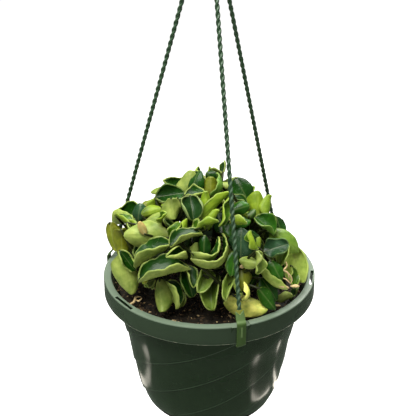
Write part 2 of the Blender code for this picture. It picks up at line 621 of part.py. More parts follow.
def foot_of(one):
    """The middle of the blade's end edge, and a point a little way into the blade from there."""
    rows, columns = blade_grid(one)
    beside = 1 / columns if columns % 2 else 0
    u = stations(np.array([[-1.0, -1.0], [-1 + 2 / rows, -1 + 2 / rows]]))
    points = in_plant(one, blade_points(one, u, np.array([[-beside, beside]] * 2)))
    foot, further = Vector(points[0].mean(axis=0)), Vector(points[1].mean(axis=0))
    return foot, foot.lerp(further, 0.35)


def blade_grid(one):
    """Faces along and across a blade: more where its midrib bends far, fewer where it is small or hidden."""
    if "front" not in one or one["size"][0] < 0.0225:
        return 3, 3
    if abs(one["bend"]) > 120:
        return 6, 4
    return (4, 4) if one["size"][0] > 0.032 else (3, 4)


def stalk_mesh(start, end, fat=0.0):
    """A slim three-sided rod from a stem into a leaf's foot, where it is no thicker than the blade."""
    bm = bmesh.new()
    line = end - start
    bmesh.ops.create_cone(bm, cap_ends=True, segments=3, radius1=STALK_RADIUS + fat, radius2=BLADE / 2 + fat,
                          depth=line.length)
    turn = line.to_track_quat("Z", "Y").to_matrix().to_4x4()
    bmesh.ops.transform(bm, matrix=Matrix.Translation((start + end) / 2) @ turn, verts=bm.verts)
    return bm


class Obstacle:
    """A placed surface, for testing whether the next one would cross it."""

    def __init__(self, node, kind, bm):
        self.node, self.kind = node, kind
        self.tree = BVHTree.FromBMesh(bm)
        corners = np.array([v.co for v in bm.verts])
        self.low, self.high = corners.min(axis=0), corners.max(axis=0)
        bm.free()

    def crossings(self, other):
        if (self.low > other.high).any() or (other.low > self.high).any():
            return 0
        return len(self.tree.overlap(other.tree))


def tube_mesh(points, radius, sides=8):
    """A rough tube along points, only for the crossing test."""
    bm = bmesh.new()
    for a, b in zip(points, points[1:]):
        made = bmesh.ops.create_cone(bm, cap_ends=False, segments=sides, radius1=radius, radius2=radius,
                                     depth=(b - a).length)
        turn = (b - a).to_track_quat("Z", "Y").to_matrix().to_4x4()
        bmesh.ops.transform(bm, matrix=Matrix.Translation((a + b) / 2) @ turn, verts=made["verts"])
    return bm


def ring_mesh(profile):
    """A surface turned round the pot's axis, only for the crossing test."""
    bm = bmesh.new()
    points = [bm.verts.new((radius, 0, height)) for radius, height in profile]
    edges = [bm.edges.new(pair) for pair in zip(points, points[1:])]
    bmesh.ops.spin(bm, geom=points + edges, axis=(0, 0, 1), cent=(0, 0, 0), angle=2 * math.pi, steps=SIDES)
    return bm


def surroundings(paths):
    """What the leaves keep clear of: stems, soil, the pot's rim and the strands."""
    made = [Obstacle(name, "stem", tube_mesh(path, STEM_RADIUS + GAP)) for name, path in paths]
    middle, outside = RIM_RADIUS - 0.004, RIM_RADIUS + 0.0006
    rim = ((body_radius(0.0175) - WALL - 0.0006, -0.0175), (FLANGE_INNER - 0.0024, -0.0028),
           (FLANGE_INNER - 0.0006, 0.0008), (outside, 0.0008), (outside, -0.03), (middle, -0.03), (middle, 0))
    made.append(Obstacle("pot", "pot", ring_mesh(rim)))
    made.append(Obstacle("soil", "soil", ring_mesh([(r, soil_top(r) + 0.001) for r in (0.001, 0.05, 0.095)])))
    for k in range(3):
        azimuth = FRONT_STRAND + 120 * k
        low, high = (on_ring(azimuth, STRAND_FOOT_RADIUS * (1 - h / STRANDS_MEET), h) for h in (0.013, 0.3))
        foot = on_ring(azimuth, RIM_RADIUS, 0.001)
        made.append(Obstacle("strand", "strand", tube_mesh([foot, low], 0.0052)))
        made.append(Obstacle("strand", "strand", tube_mesh([low, high], STRAND_RADIUS + 0.0008)))
    return made


def reach_stem(one, paths, obstacles):
    """The stem that the leaf's stalk reaches by the shortest clear way, the stalk's ends, or None."""
    foot, inside = foot_of(one)
    choices = []
    for name, path in paths:
        for a, b in zip(path[2:], path[3:]):
            choices += [(name, a.lerp(b, f)) for f in (0.0, 0.5)]
        choices.append((name, path[-1]))
    choices.sort(key=lambda choice: (choice[1] - foot).length)
    for name, start in choices[:24]:
        if (start - foot).length > 0.045:
            break
        rod = Obstacle(name, "stalk", stalk_mesh(start, inside, GAP))
        if not any(rod.crossings(other) for other in obstacles if other.node != name):
            return name, start, inside, rod
    return None


def nudged(one, share, draw):
    """The leaf a little moved and turned; share grows from 0 to 1 over the tries."""
    moved = dict(one)
    push = TOWARD if "front" in one else one["toward"]
    drift = Vector([draw.uniform(-1, 1) for _ in range(3)]) * 0.005
    moved["place"] = one["place"] + (push * draw.uniform(-0.012, 0.008) + drift) * share
    for key in ("turn", "lean", "face"):
        moved[key] = one[key] + draw.uniform(-25, 25) * share
    scale = 1 - 0.25 * max(0, share - 0.4)
    moved["size"] = (one["size"][0] * scale, one["size"][1] * scale)
    return moved


def settled(leaves, paths, obstacles, seed, tries, most_crossings):
    """The leaves as near as they can lie to where they are wanted, clear of the other stems' leaves.

    A leaf may touch leaves of its own stem where it finds no clear place, and one that finds none
    at all is left out.
    """
    draw = random.Random(seed)
    made = []
    for wanted in leaves:
        best = None
        for k in range(tries):
            one = nudged(wanted, k / tries, draw) if k else dict(wanted)
            blade = Obstacle(None, "blade", blade_mesh(one, BLADE + CLEAR))
            hits = [(other, blade.crossings(other)) for other in obstacles]
            hits = [(other, count) for other, count in hits if count]
            nodes = {other.node for other, _ in hits}
            count = sum(count for _, count in hits)
            if len(nodes) > 1 or any(other.kind not in ("blade", "stalk") for other, _ in hits):
                continue
            if count > most_crossings or (best and best[0] <= count):
                continue
            found = reach_stem(one, [path for path in paths if not nodes or path[0] in nodes], obstacles)
            if found:
                best = (count, one, blade, found)
            if found and not hits:
                break
        if best:
            _, one, blade, (name, start, end, rod) = best
            blade.node = name
            one["stem"], one["stalk"] = name, (start, end)
            obstacles += [blade, rod]
            made.append(one)
    return made


def add_stem(name, path, leaves, group, parts, look):
    """A stem with its stalks and leaves, joined into one body."""
    tube = tube_curve(f"{name}_tube", path, STEM_RADIUS, parts, None, resolution=1)
    stem = as_mesh(tube, group)
    stem.name = stem.data.name = name
    stem.data.materials.append(look)
    pieces = collection(f"{name}_pieces")
    for one in leaves:
        for kind, bm in (("blade", blade_mesh(one, BLADE)), ("stalk", stalk_mesh(*one["stalk"]))):
            add_object(f"{name}_{one['name']}_{kind}", mesh_from(one["name"], bm), pieces)
    if leaves:
        join(stem, pieces)
    return stem


def join(obj, pieces):
    """Unites the collection's objects with the object, and removes them."""
    boolean = obj.modifiers.new("join", "BOOLEAN")
    boolean.operation = "UNION"
    boolean.operand_type = "COLLECTION"
    boolean.collection = pieces
    boolean.solver = "MANIFOLD"
    depsgraph = bpy.context.evaluated_depsgraph_get()
    joined = bpy.data.meshes.new_from_object(obj.evaluated_get(depsgraph))
    obj.modifiers.clear()
    obj.data = joined
    for piece in list(pieces.objects):
        bpy.data.objects.remove(piece)
    bpy.data.collections.remove(pieces)


def main():
    clear_scene()
    group = collection("hindu_rope_plant")
    cutters = collection("cutters")
    parts = collection("parts")
    paths = stem_paths()
    obstacles = surroundings(paths)
    front = ruffled(front_leaves(), 3)
    for one in front:
        one["front"] = True
    leaves = settled(front, paths, obstacles, seed=7, tries=90, most_crossings=12)
    leaves += settled(ruffled(filling_leaves(11), 4), paths, obstacles, seed=8, tries=60, most_crossings=6)
    add_pot(group, cutters)
    add_soil(group, cutters, paths)
    green = hanger_plastic()
    add_strands(group, green)
    add_clips(group, green)
    add_hook(group, parts, green)
    leaf_green = material("leaf_green", (0.13, 0.24, 0.05), 0.4)
    for name, path in paths:
        add_stem(name, path, [one for one in leaves if one["stem"] == name], group, parts, leaf_green)
    rim = bpy.data.objects.new("rim_middle", None)
    group.objects.link(rim)
    rim.location.z = -HOOK_TOP
    for obj in list(bpy.data.objects):
        if obj is not rim:
            obj.parent = rim
    print(len(leaves), "leaves on", len(paths), "stems")


main()
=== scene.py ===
# %% [markdown]
# # A hindu rope plant in a hanging pot
#
# The real object is a trailing plant with thick, waxy, curled leaves. It grows in a green plastic pot that
# hangs on three twisted cords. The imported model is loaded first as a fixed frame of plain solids. The finer
# pieces below are fitted to it and take the place of its solids one by one.

# %% Load the frame
import math
import random

import bmesh
import bpy
import numpy as np
from mathutils import Matrix, Vector, noise
from mathutils.bvhtree import BVHTree


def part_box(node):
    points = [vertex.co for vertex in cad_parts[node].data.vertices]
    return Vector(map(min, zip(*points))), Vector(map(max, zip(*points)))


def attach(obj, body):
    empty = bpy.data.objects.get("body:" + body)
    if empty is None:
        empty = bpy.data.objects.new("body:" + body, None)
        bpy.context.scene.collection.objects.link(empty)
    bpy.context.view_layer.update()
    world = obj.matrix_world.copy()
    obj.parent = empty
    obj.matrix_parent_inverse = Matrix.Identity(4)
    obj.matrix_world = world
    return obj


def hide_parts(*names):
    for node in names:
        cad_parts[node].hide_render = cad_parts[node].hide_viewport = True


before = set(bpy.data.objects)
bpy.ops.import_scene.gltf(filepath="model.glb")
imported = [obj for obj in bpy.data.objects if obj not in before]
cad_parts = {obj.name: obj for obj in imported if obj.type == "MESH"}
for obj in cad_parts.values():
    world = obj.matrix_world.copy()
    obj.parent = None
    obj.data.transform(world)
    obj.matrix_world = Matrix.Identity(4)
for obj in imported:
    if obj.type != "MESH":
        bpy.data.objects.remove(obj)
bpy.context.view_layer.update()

# %% [markdown]
# ## Measures from the frame
#
# The origin is where the hook bears, so the pot hangs far below it. It is easier to think in heights above
# the pot's rim, so the pieces are made round the middle of the rim and moved down into place at the end.

# %% Heights and radii
pot_low, pot_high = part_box("pot")
RIM_HEIGHT = pot_high.z
RIM_RADIUS = round(pot_high.x - 0.0003, 4)
POT_HEIGHT = pot_high.z - pot_low.z
COLLAR_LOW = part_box("hook")[0].z - RIM_HEIGHT
HOOK_TOP = -RIM_HEIGHT
GAP = 0.0003
WALL = 0.0018
print(f"rim {2 * RIM_RADIUS:.4f} m across, pot {POT_HEIGHT:.4f} m high, collar {COLLAR_LOW:.4f} m above it")


def on_ring(azimuth, radius, height):
    """A point round the pot's axis: azimuth in degrees from the front towards +X, height above the rim."""
    a = math.radians(azimuth)
    return Vector((radius * math.sin(a), -radius * math.cos(a), height))

# %% [markdown]
# ## The camera
#
# The ellipse of the rim and the lines of the three cords fix where the camera was: 0.81 m from the rim's
# middle and 30 degrees above it. The three directions of the view are kept, because the leaves are set out by
# them.

# %% Place the camera
PICTURE = 416
LENS, SENSOR = 72.0, 36.0
EYE = Vector((0, -0.7011, 0.4082))
LOOK_AT = Vector((-0.0012, 0, 0.0657))
TOWARD = (EYE - LOOK_AT).normalized()
RIGHT = Vector((0, 0, 1)).cross(TOWARD).normalized()
UP = TOWARD.cross(RIGHT)
DOWN_TO_PLACE = Matrix.Translation((0, 0, RIM_HEIGHT))

lens = bpy.data.cameras.new("camera")
lens.lens = LENS
lens.sensor_width = SENSOR
camera = bpy.data.objects.new("camera", lens)
bpy.context.scene.collection.objects.link(camera)
facing = Matrix((RIGHT, UP, TOWARD)).transposed().to_4x4()
camera.matrix_world = DOWN_TO_PLACE @ Matrix.Translation(EYE) @ facing
bpy.context.scene.camera = camera
print("the camera looks down by", round(math.degrees(math.asin(TOWARD.z)), 1), "degrees")

# %% [markdown]
# ## Helpers that finish a piece
#
# Every piece ends in the same way: its mesh moves down to its place, becomes an object at the origin, gets a
# material, rides on the one body of the frame and hides the solids that it stands for.

# %% Finish a piece
def as_mesh(name, bm):
    """The bmesh as a mesh of that name; the bmesh itself is freed."""
    mesh = bpy.data.meshes.new(name)
    bm.to_mesh(mesh)
    bm.free()
    return mesh


def finish_piece(name, bm, look, slot, *nodes, smooth=True):
    """Makes the object from a bmesh in heights above the rim."""
    bmesh.ops.transform(bm, matrix=DOWN_TO_PLACE, verts=bm.verts)
    mesh = as_mesh(name, bm)
    mesh.materials.append(look)
    mesh.polygons.foreach_set("use_smooth", [smooth] * len(mesh.polygons))
    piece = bpy.data.objects.new(name, mesh)
    bpy.context.scene.collection.objects.link(piece)
    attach(piece, "root")
    if nodes:
        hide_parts(*nodes)
    print(name, "has", len(mesh.polygons), "faces")
    return piece


def sharpen(piece, degrees):
    """Keeps edges that bend by more than the angle sharp in a smooth surface."""
    bm = bmesh.new()
    bm.from_mesh(piece.data)
    for edge in bm.edges:
        edge.smooth = edge.calc_face_angle(0) < math.radians(degrees)
    bm.to_mesh(piece.data)
    bm.free()


def aimed(place, direction):
    """The move to a place that also turns +Z along a direction."""
    return Matrix.Translation(place) @ direction.to_track_quat("Z", "Y").to_matrix().to_4x4()


print("a finished piece moves down by", round(-RIM_HEIGHT, 4), "m to its place")

# %% [markdown]
# ## Shader helpers
#
# A material is a graph of nodes. One helper adds a node and connects what feeds it, which keeps each
# material down to a few readable lines.

# %% Add a node
def node(tree, kind, feeds=(), **settings):
    """A shader node of that kind; feeds are pairs of an input's name or number and a value or an output."""
    made = tree.nodes.new("ShaderNode" + kind)
    for key, value in settings.items():
        setattr(made, key, value)
    for socket, value in feeds:
        if isinstance(value, bpy.types.NodeSocket):
            tree.links.new(value, made.inputs[socket])
        else:
            made.inputs[socket].default_value = value
    return made


def maths(tree, operation, *values):
    """What a Math node gives for the values or outputs that feed it."""
    return node(tree, "Math", tuple(enumerate(values)), operation=operation).outputs[0]


def new_group(name, inputs, outputs):
    """An empty shader group with named float inputs and typed outputs."""
    group = bpy.data.node_groups.new(name, "ShaderNodeTree")
    for label, value in inputs:
        made = group.interface.new_socket(label, in_out="INPUT", socket_type="NodeSocketFloat")
        made.default_value = value
    for label, kind in outputs:
        group.interface.new_socket(label, in_out="OUTPUT", socket_type="NodeSocket" + kind)
    return group, group.nodes.new("NodeGroupInput").outputs, group.nodes.new("NodeGroupOutput").inputs


def use_group(tree, group, **values):
    """The group in a material, with its own values; an underscore stands for a space."""
    made = tree.nodes.new("ShaderNodeGroup")
    made.node_tree = group
    for key, value in values.items():
        made.inputs[key.replace("_", " ")].default_value = value
    return made.outputs


def mixed(tree, factor, first, second, blend="MIX"):
    """The colour between two colours."""
    made = node(tree, "Mix", data_type="RGBA", blend_type=blend)
    for socket, value in ((0, factor), (6, first), (7, second)):
        if isinstance(value, bpy.types.NodeSocket):
            tree.links.new(value, made.inputs[socket])
        elif socket == 0:
            made.inputs[socket].default_value = value
        else:
            made.inputs[socket].default_value = (*value, 1)
    return made.outputs[2]


def ranged(tree, value, low, high, to_low=0.0, to_high=1.0):
    """The value carried smoothly from one range to another, and held at its ends."""
    feeds = (("Value", value), ("From Min", low), ("From Max", high), ("To Min", to_low), ("To Max", to_high))
    return node(tree, "MapRange", feeds, interpolation_type="SMOOTHSTEP").outputs[0]


def new_material(name, **constants):
    """A material with a Principled BSDF, whose constant sockets are set directly."""
    made = bpy.data.materials.new(name)
    made.use_nodes = True
    shader = made.node_tree.nodes["Principled BSDF"]
    for key, value in constants.items():
        shader.inputs[key.replace("_", " ")].default_value = value
    return made, made.node_tree, shader


def colour(red, green, blue):
    """A colour as a screen shows it, from 0 to 255, as the light values that a shader takes."""
    return tuple((part / 255) ** 2.2 for part in (red, green, blue))


print("half of a screen's white is", round(colour(128, 128, 128)[0], 2), "of its light")

# %% [markdown]
# ## Effects that several materials share
#
# Moulded plastic, leaves and soil need what one flat colour lacks, among them slow changes of tone,
# small specks of dust or pale freckles, and a fine unevenness that breaks up a highlight. Each is a node
# group, built once, and the materials that need it place it with values of their own.

# %% Tone, specks and fine grain
def object_place(tree):
    return node(tree, "TexCoord").outputs["Object"]


TONE, group_in, group_out = new_group(
    "slow_tone", (("Size", 0.02), ("Contrast", 0.3)), (("Factor", "Float"),))
per_metre = maths(TONE, "DIVIDE", 1.0, group_in["Size"])
cloud = node(TONE, "TexNoise", (("Vector", object_place(TONE)), ("Scale", per_metre), ("Detail", 3.0)))
centred = maths(TONE, "SUBTRACT", cloud.outputs["Fac"], 0.5)
TONE.links.new(maths(TONE, "MULTIPLY_ADD", centred, group_in["Contrast"], 0.5), group_out["Factor"])

SPECKS, group_in, group_out = new_group("specks", (("Spacing", 0.003), ("Radius", 0.2)), (("Mask", "Float"),))
per_metre = maths(SPECKS, "DIVIDE", 1.0, group_in["Spacing"])
cells = node(SPECKS, "TexVoronoi", (("Vector", object_place(SPECKS)), ("Scale", per_metre)))
patches = node(SPECKS, "TexNoise", (("Vector", object_place(SPECKS)), ("Scale", 90.0))).outputs["Fac"]
here = ranged(SPECKS, patches, 0.45, 0.6)
radius_here = maths(SPECKS, "MULTIPLY", here, group_in["Radius"])
inside = maths(SPECKS, "SUBTRACT", radius_here, cells.outputs["Distance"])
SPECKS.links.new(ranged(SPECKS, inside, 0.0, 0.08), group_out["Mask"])

GRAIN, group_in, group_out = new_group(
    "fine_grain", (("Size", 0.002), ("Height", 0.00005), ("Detail", 4.0), ("Upright", 1.0)),
    (("Normal", "Vector"),))
per_metre = maths(GRAIN, "DIVIDE", 1.0, group_in["Size"])
squeeze = node(GRAIN, "CombineXYZ", (("X", 1.0), ("Y", 1.0), ("Z", group_in["Upright"]))).outputs[0]
place = node(GRAIN, "VectorMath", ((0, object_place(GRAIN)), (1, squeeze)), operation="MULTIPLY").outputs[0]
rough = node(GRAIN, "TexNoise", (("Vector", place), ("Scale", per_metre), ("Detail", group_in["Detail"])))
height = maths(GRAIN, "MULTIPLY", rough.outputs["Fac"], group_in["Height"])
bump = node(GRAIN, "Bump", (("Height", height), ("Distance", 1.0)))
GRAIN.links.new(bump.outputs[0], group_out["Normal"])
print("shared effects:", ", ".join(group.name for group in bpy.data.node_groups))

# %% [markdown]
# ## Plastic of the pot and the hanger
#
# Pot and hanger are moulded plastic: smooth, a little waxy, and slightly uneven, so that reflections swim.
# Dust settles on what faces up, and a painted sheen is laid there too, which makes the rim look paler and
# greyer than the body below it. The edges, ledges and clips carry painted highlights, and the ledges' creases
# painted shade.

# %% Moulded plastic
def moulded_plastic(name, body, dust_and_highlight, roughness, tone=0.5, swim=0.0009):
    """A plastic; a vertex attribute marks creases with painted shade at -1, painted highlights at 1, chips at
    2.
    """
    made, tree, shader = new_material(name, IOR=1.49, Specular_IOR_Level=0.5)
    normal = node(tree, "NewGeometry").outputs["Normal"]
    facing = node(tree, "SeparateXYZ", (("Vector", normal),)).outputs["Z"]
    drift = use_group(tree, TONE, Size=0.03, Contrast=tone)["Factor"]
    deep = mixed(tree, drift, tuple(0.72 * part for part in body), tuple(1.28 * part for part in body))
    # what faces up turns pale: dust, with a painted sheen of the sky on it
    dust_and_sheen = ranged(tree, facing, 0.25, 0.95)
    specks = use_group(tree, SPECKS, Spacing=0.0035, Radius=0.16)["Mask"]
    dusted_and_sheened = mixed(tree, dust_and_sheen, deep, dust_and_highlight)
    freckled = mixed(tree, maths(tree, "MULTIPLY", specks, 0.35), dusted_and_sheened,
                     tuple(min(1, 2.2 * part + 0.05) for part in body))
    wear_and_painted_light = node(tree, "Attribute", attribute_name="wear_and_painted_light").outputs["Fac"]
    # marks from 0.45 up: painted highlights on edges, ledges and clips, a faint painted lightening with
    # scuffs on the band, and chips
    highlit_and_worn = mixed(tree, ranged(tree, wear_and_painted_light, 0.45, 1.0, 0.0, 0.8), freckled, dust_and_highlight)
    # marks below 0: painted shade in the creases of the ledges
    painted_crease_shade = ranged(tree, wear_and_painted_light, -1.0, -0.55, 0.75, 0.0)
    crease_shaded = mixed(tree, painted_crease_shade, highlit_and_worn, tuple(0.2 * part for part in body))
    patchy = use_group(tree, TONE, Size=0.006, Contrast=3.0)["Factor"]
    chipped = ranged(tree, patchy, 0.35, 0.75, 0.15, 1.0)
    there = ranged(tree, wear_and_painted_light, 1.3, 1.9)
    chips = maths(tree, "MULTIPLY", there, chipped)
    tree.links.new(mixed(tree, chips, crease_shaded, colour(206, 200, 172)), shader.inputs["Base Color"])
    tree.links.new(ranged(tree, dust_and_sheen, 0.0, 1.0, roughness, roughness + 0.25), shader.inputs["Roughness"])
    uneven = use_group(tree, GRAIN, Size=0.015, Height=swim, Detail=0.0, Upright=0.35)["Normal"]
    tree.links.new(uneven, shader.inputs["Normal"])
    return made


POT_PLASTIC = moulded_plastic("pot_plastic", colour(36, 50, 34), colour(110, 126, 108), 0.15)
CORD_PLASTIC = moulded_plastic("cord_plastic", colour(52, 76, 54), colour(112, 136, 112), 0.30, swim=0.0001)
CLIP_PLASTIC = moulded_plastic("clip_plastic", colour(60, 84, 38), colour(104, 130, 78), 0.36, swim=0.0001)
print("plastics for the pot, the cords and the clips")

# %% [markdown]
# ## The three twisted cords
#
# Each cord of the hanger is one moulded strand with two twisted lobes. A cross-section that turns while it
# moves along its own axis gives exactly that, so a two-lobed ring is spun with a rise at each step. The
# cords hang taut between the clips and the collar, so each follows a straight line.

# %% Directions of the cords
CORD_RADIUS = 0.0021
CORD_WAIST = 0.62
CORD_PITCH = 0.0125
CORD_SIDES = 18
STEPS_A_TURN = 16
FRONT_CORD = 15.7
CORD_FOOT_RADIUS = 0.100
CORDS_MEET = 0.338
CORD_LOW = 0.0130
CORD_TOP = COLLAR_LOW - GAP - 0.0007


def on_cord(k, height):
    """The point of a cord's middle line at a height above the rim."""
    return on_ring(FRONT_CORD + 120 * k, CORD_FOOT_RADIUS * (1 - height / CORDS_MEET), height)

# %% Twist and place them
def twisted_cord(foot, top):
    """A two-lobed strand from foot to top, closed at both ends."""
    length = (top - foot).length
    steps = round(length / CORD_PITCH * STEPS_A_TURN)
    bm = bmesh.new()
    ring = bmesh.ops.create_circle(bm, segments=CORD_SIDES, radius=CORD_RADIUS)["verts"]
    for vert in ring:
        lobe = abs(vert.co.x) / CORD_RADIUS
        vert.co *= CORD_WAIST + (1 - CORD_WAIST) * lobe**1.5
    bmesh.ops.spin(bm, geom=bm.verts[:] + bm.edges[:], axis=(0, 0, 1), cent=(0, 0, 0),
                   dvec=(0, 0, length / steps), angle=math.tau * length / CORD_PITCH, steps=steps)
    bmesh.ops.holes_fill(bm, edges=bm.edges[:])
    bmesh.ops.recalc_face_normals(bm, faces=bm.faces)
    bmesh.ops.transform(bm, matrix=aimed(foot, top - foot), verts=bm.verts)
    return bm


for k in range(3):
    foot, top = on_cord(k, CORD_LOW), on_cord(k, CORD_TOP)
    cord = finish_piece(f"twisted_cord_{k + 1}", twisted_cord(foot, top), CORD_PLASTIC, "hanger",
                        f"strand_{k + 1}")
    sharpen(cord, 60)
    print(f"cord {k + 1} is {(top - foot).length:.4f} m long")

# %% [markdown]
# ## Floor and light
#
# A pale floor lies well below the pot. The light is soft daylight from all round, a large panel above,
# another above and behind, and three faint strips low down beside the pot. The strips are what the glossy pot
# mirrors as pale streaks at its sides. For the same reason the floor is painted dark in mirrored light, a
# painted shade like that of the ground under a tree.

# %% Floor
FLOOR_REACH, FLOOR_BELOW = 8, 0.5


def pale_floor():
    bm = bmesh.new()
    bmesh.ops.create_grid(bm, x_segments=1, y_segments=1, size=FLOOR_REACH)
    mesh = as_mesh("floor", bm)
    made, tree, shader = new_material("floor_white", Roughness=0.9, Specular_IOR_Level=0.0)
    path = node(tree, "LightPath").outputs
    # painted shade: glossy rays see the floor dark, as shaded ground round the pot; all other rays see it
    # pale
    tree.links.new(mixed(tree, path["Is Glossy Ray"], (0.93, 0.93, 0.93), (0.10, 0.12, 0.10)),
                   shader.inputs["Base Color"])
    shader.inputs["Emission Color"].default_value = (1, 1, 1, 1)
    tree.links.new(maths(tree, "MULTIPLY", path["Is Camera Ray"], 0.75), shader.inputs["Emission Strength"])
    mesh.materials.append(made)
    piece = bpy.data.objects.new("floor", mesh)
    bpy.context.scene.collection.objects.link(piece)
    piece.location.z = pot_low.z - FLOOR_BELOW
    print("the floor lies", round(pot_low.z - piece.location.z, 3), "m below the pot")


pale_floor()
bpy.context.scene.view_settings.view_transform = "Standard"

# %% Lights
STRIP_DISTANCE = 0.6


def panel(name, place, aim, size, power, tint):
    """A rectangular soft light at a place, turned towards another."""
    light = bpy.data.lights.new(name, "AREA")
    light.shape = "RECTANGLE"
    light.size, light.size_y = size
    light.energy = power
    light.color = tint
    made = bpy.data.objects.new(name, light)
    bpy.context.scene.collection.objects.link(made)
    start, end = DOWN_TO_PLACE @ Vector(place), DOWN_TO_PLACE @ Vector(aim)
    made.matrix_world = aimed(start, start - end)
    made.visible_camera = False
    print(name, "gives", power, "W")


def strip(name, azimuth, elevation, size, power):
    """A narrow light at a distance from the pot's middle, in the direction of its azimuth and elevation."""
    middle, lift = Vector((0, 0, -0.07)), math.radians(elevation)
    place = middle + on_ring(azimuth, STRIP_DISTANCE * math.cos(lift), STRIP_DISTANCE * math.sin(lift))
    panel(name, place, middle, size, power, (1.0, 0.93, 0.80))


panel("sky_panel", (-0.5, -0.5, 1.6), (0, 0, 0), (1.2, 1.2), 50, (1.0, 0.99, 0.95))
panel("back_panel", (0.55, 0.75, 1.2), (0, 0, 0), (1.0, 1.0), 26, (1.0, 0.99, 0.95))
strip("left_strip", -122, -45, (0.34, 0.030), 0.060)
strip("right_strip", 136, -45, (0.36, 0.024), 0.11)
strip("front_right_strip", 92, -51, (0.34, 0.028), 0.12)

sky = bpy.data.worlds.new("daylight")
bpy.context.scene.world = sky
sky.use_nodes = True
backdrop = sky.node_tree.nodes["Background"]
backdrop.inputs["Color"].default_value = (1.0, 0.99, 0.95, 1)
seen = node(sky.node_tree, "LightPath").outputs["Is Camera Ray"]
sky.node_tree.links.new(ranged(sky.node_tree, seen, 0, 1, 0.27, 1.0), backdrop.inputs["Strength"])
print("soft daylight all round, from", sky.name)

# %% [markdown]
# ## The pot
#
# The real pot is one thin moulding: a body with seven swirled panels that overlap like slates, a flange with
# a hanging band round it, three slots and three notches. Its profile is drawn once as a line of radius and
# height, and spun round the axis. The swirl comes from turning each lower ring of the outer wall a little
# further, so that the columns of faces run along the ledges, and from letting each panel stand out slightly
# more towards its ledge.

# %% Profile of the pot
SPUN = 168
PANELS = 7
SWIRL = 1450.0
FIRST_LEDGE = 90 - 5 * 360 / SPUN
LEDGE = 0.0011
BODY_START, BODY_TOP, BODY_LOW = 0.0175, 0.0205, 0.1345
BODY_RADII = ((0.0050, 0.0917), (0.0436, 0.0864), (0.0620, 0.0820), (0.1000, 0.0758), (0.1180, 0.0723),
              (0.1348, 0.0667), (0.1400, 0.0638))
SOFTENED = np.linspace(-0.006, 0.006, 9)
CORNER_RADII = ((0.1375, 0.0652), (0.1400, 0.0634), (0.1420, 0.0611), (0.1434, 0.0581), (0.1442, 0.0545))
FLANGE_INNER, FLANGE_UNDER = 0.0955, 0.0024
BAND_HEIGHT, BAND_THICKNESS = 0.0178, 0.0018
FOOT_OUTER, FOOT_INNER, FOOT_HEIGHT, FLOOR = 0.0515, 0.0440, 0.0015, 0.0020
FOOT_TOP = -POT_HEIGHT + FOOT_HEIGHT


def body_radius(depth):
    """Outer radius of the pot's body at a depth below the rim; the bends between the points are softened."""
    depths, radii = zip(*BODY_RADII)
    return float(np.mean(np.interp(depth + SOFTENED, depths, radii)))


def pot_profile():
    """Radius and height from the middle of the floor up the inner wall, over the rim and down outside."""
    floor = FOOT_TOP + FLOOR
    depths = np.linspace(BODY_LOW, BODY_START, 16)
    line = [(0, floor), (0.02, floor), (FOOT_OUTER - 0.001, floor), (0.0585, floor + 0.0014),
            (CORNER_RADII[1][1] - WALL - 0.0004, floor + 0.0045)]
    line += [(body_radius(depth) - WALL, -depth) for depth in depths]
    line += [(0.0915, -0.0085), (FLANGE_INNER - 0.0018, -0.0028), (FLANGE_INNER - 0.0008, -0.0009),
             (FLANGE_INNER - 0.0002, -0.0002), (FLANGE_INNER + 0.0006, 0)]
    line += [(RIM_RADIUS - 0.0012, 0), (RIM_RADIUS - 0.0005, -0.0002), (RIM_RADIUS, -0.0010)]
    line += [(RIM_RADIUS + 0.0003 * share, -0.001 - (BAND_HEIGHT - 0.0015) * share)
             for share in (0.33, 0.66, 1)]
    under = RIM_RADIUS + 0.0003 - BAND_THICKNESS
    line += [(RIM_RADIUS + 0.0001, -BAND_HEIGHT), (under + 0.0002, -BAND_HEIGHT),
             (under, -BAND_HEIGHT + 0.0006),
             (RIM_RADIUS - BAND_THICKNESS, -FLANGE_UNDER - 0.0008),
             (RIM_RADIUS - BAND_THICKNESS - 0.0008, -FLANGE_UNDER),
             (FLANGE_INNER + 0.0016, -FLANGE_UNDER), (0.0962, -0.0095), (0.0935, -0.0145)]
    line += [(body_radius(depth), -depth) for depth in np.linspace(BODY_START, BODY_LOW, 40)]
    line += [(radius, -depth) for depth, radius in CORNER_RADII]
    line += [(FOOT_OUTER, FOOT_TOP), (FOOT_OUTER - 0.0003, -POT_HEIGHT + 0.0003),
             (FOOT_OUTER - 0.0008, -POT_HEIGHT), (FOOT_INNER, -POT_HEIGHT),
             (FOOT_INNER - 0.0008, FOOT_TOP), (0, FOOT_TOP)]
    return line


print("the pot's profile has", len(pot_profile()), "points")

# %% Spin a profile
# marks of the plastic: scuffs with a faint painted lightening on the band, painted highlights on edges and
# ledges, painted shade in creases, chips
BAND_SCUFFS_AND_LIGHT, PAINTED_HIGHLIGHT, CHIPPED, LEDGE_HIGHLIGHT, LEDGE_SHADE = 0.58, 1, 2, 0.72, -1.3


def spun(profile, steps=SPUN):
    """A closed body turned round the axis from points of radius and height; its ends lie on the axis."""
    bm = bmesh.new()
    points = [bm.verts.new((radius, 0, height)) for radius, height in profile]
    edges = [bm.edges.new(pair) for pair in zip(points, points[1:])]
    bmesh.ops.spin(bm, geom=points + edges, axis=(0, 0, 1), cent=(0, 0, 0), angle=math.tau, steps=steps,
                   use_merge=True)
    bmesh.ops.remove_doubles(bm, verts=bm.verts, dist=0.00001)
    bmesh.ops.recalc_face_normals(bm, faces=bm.faces)
    return bm


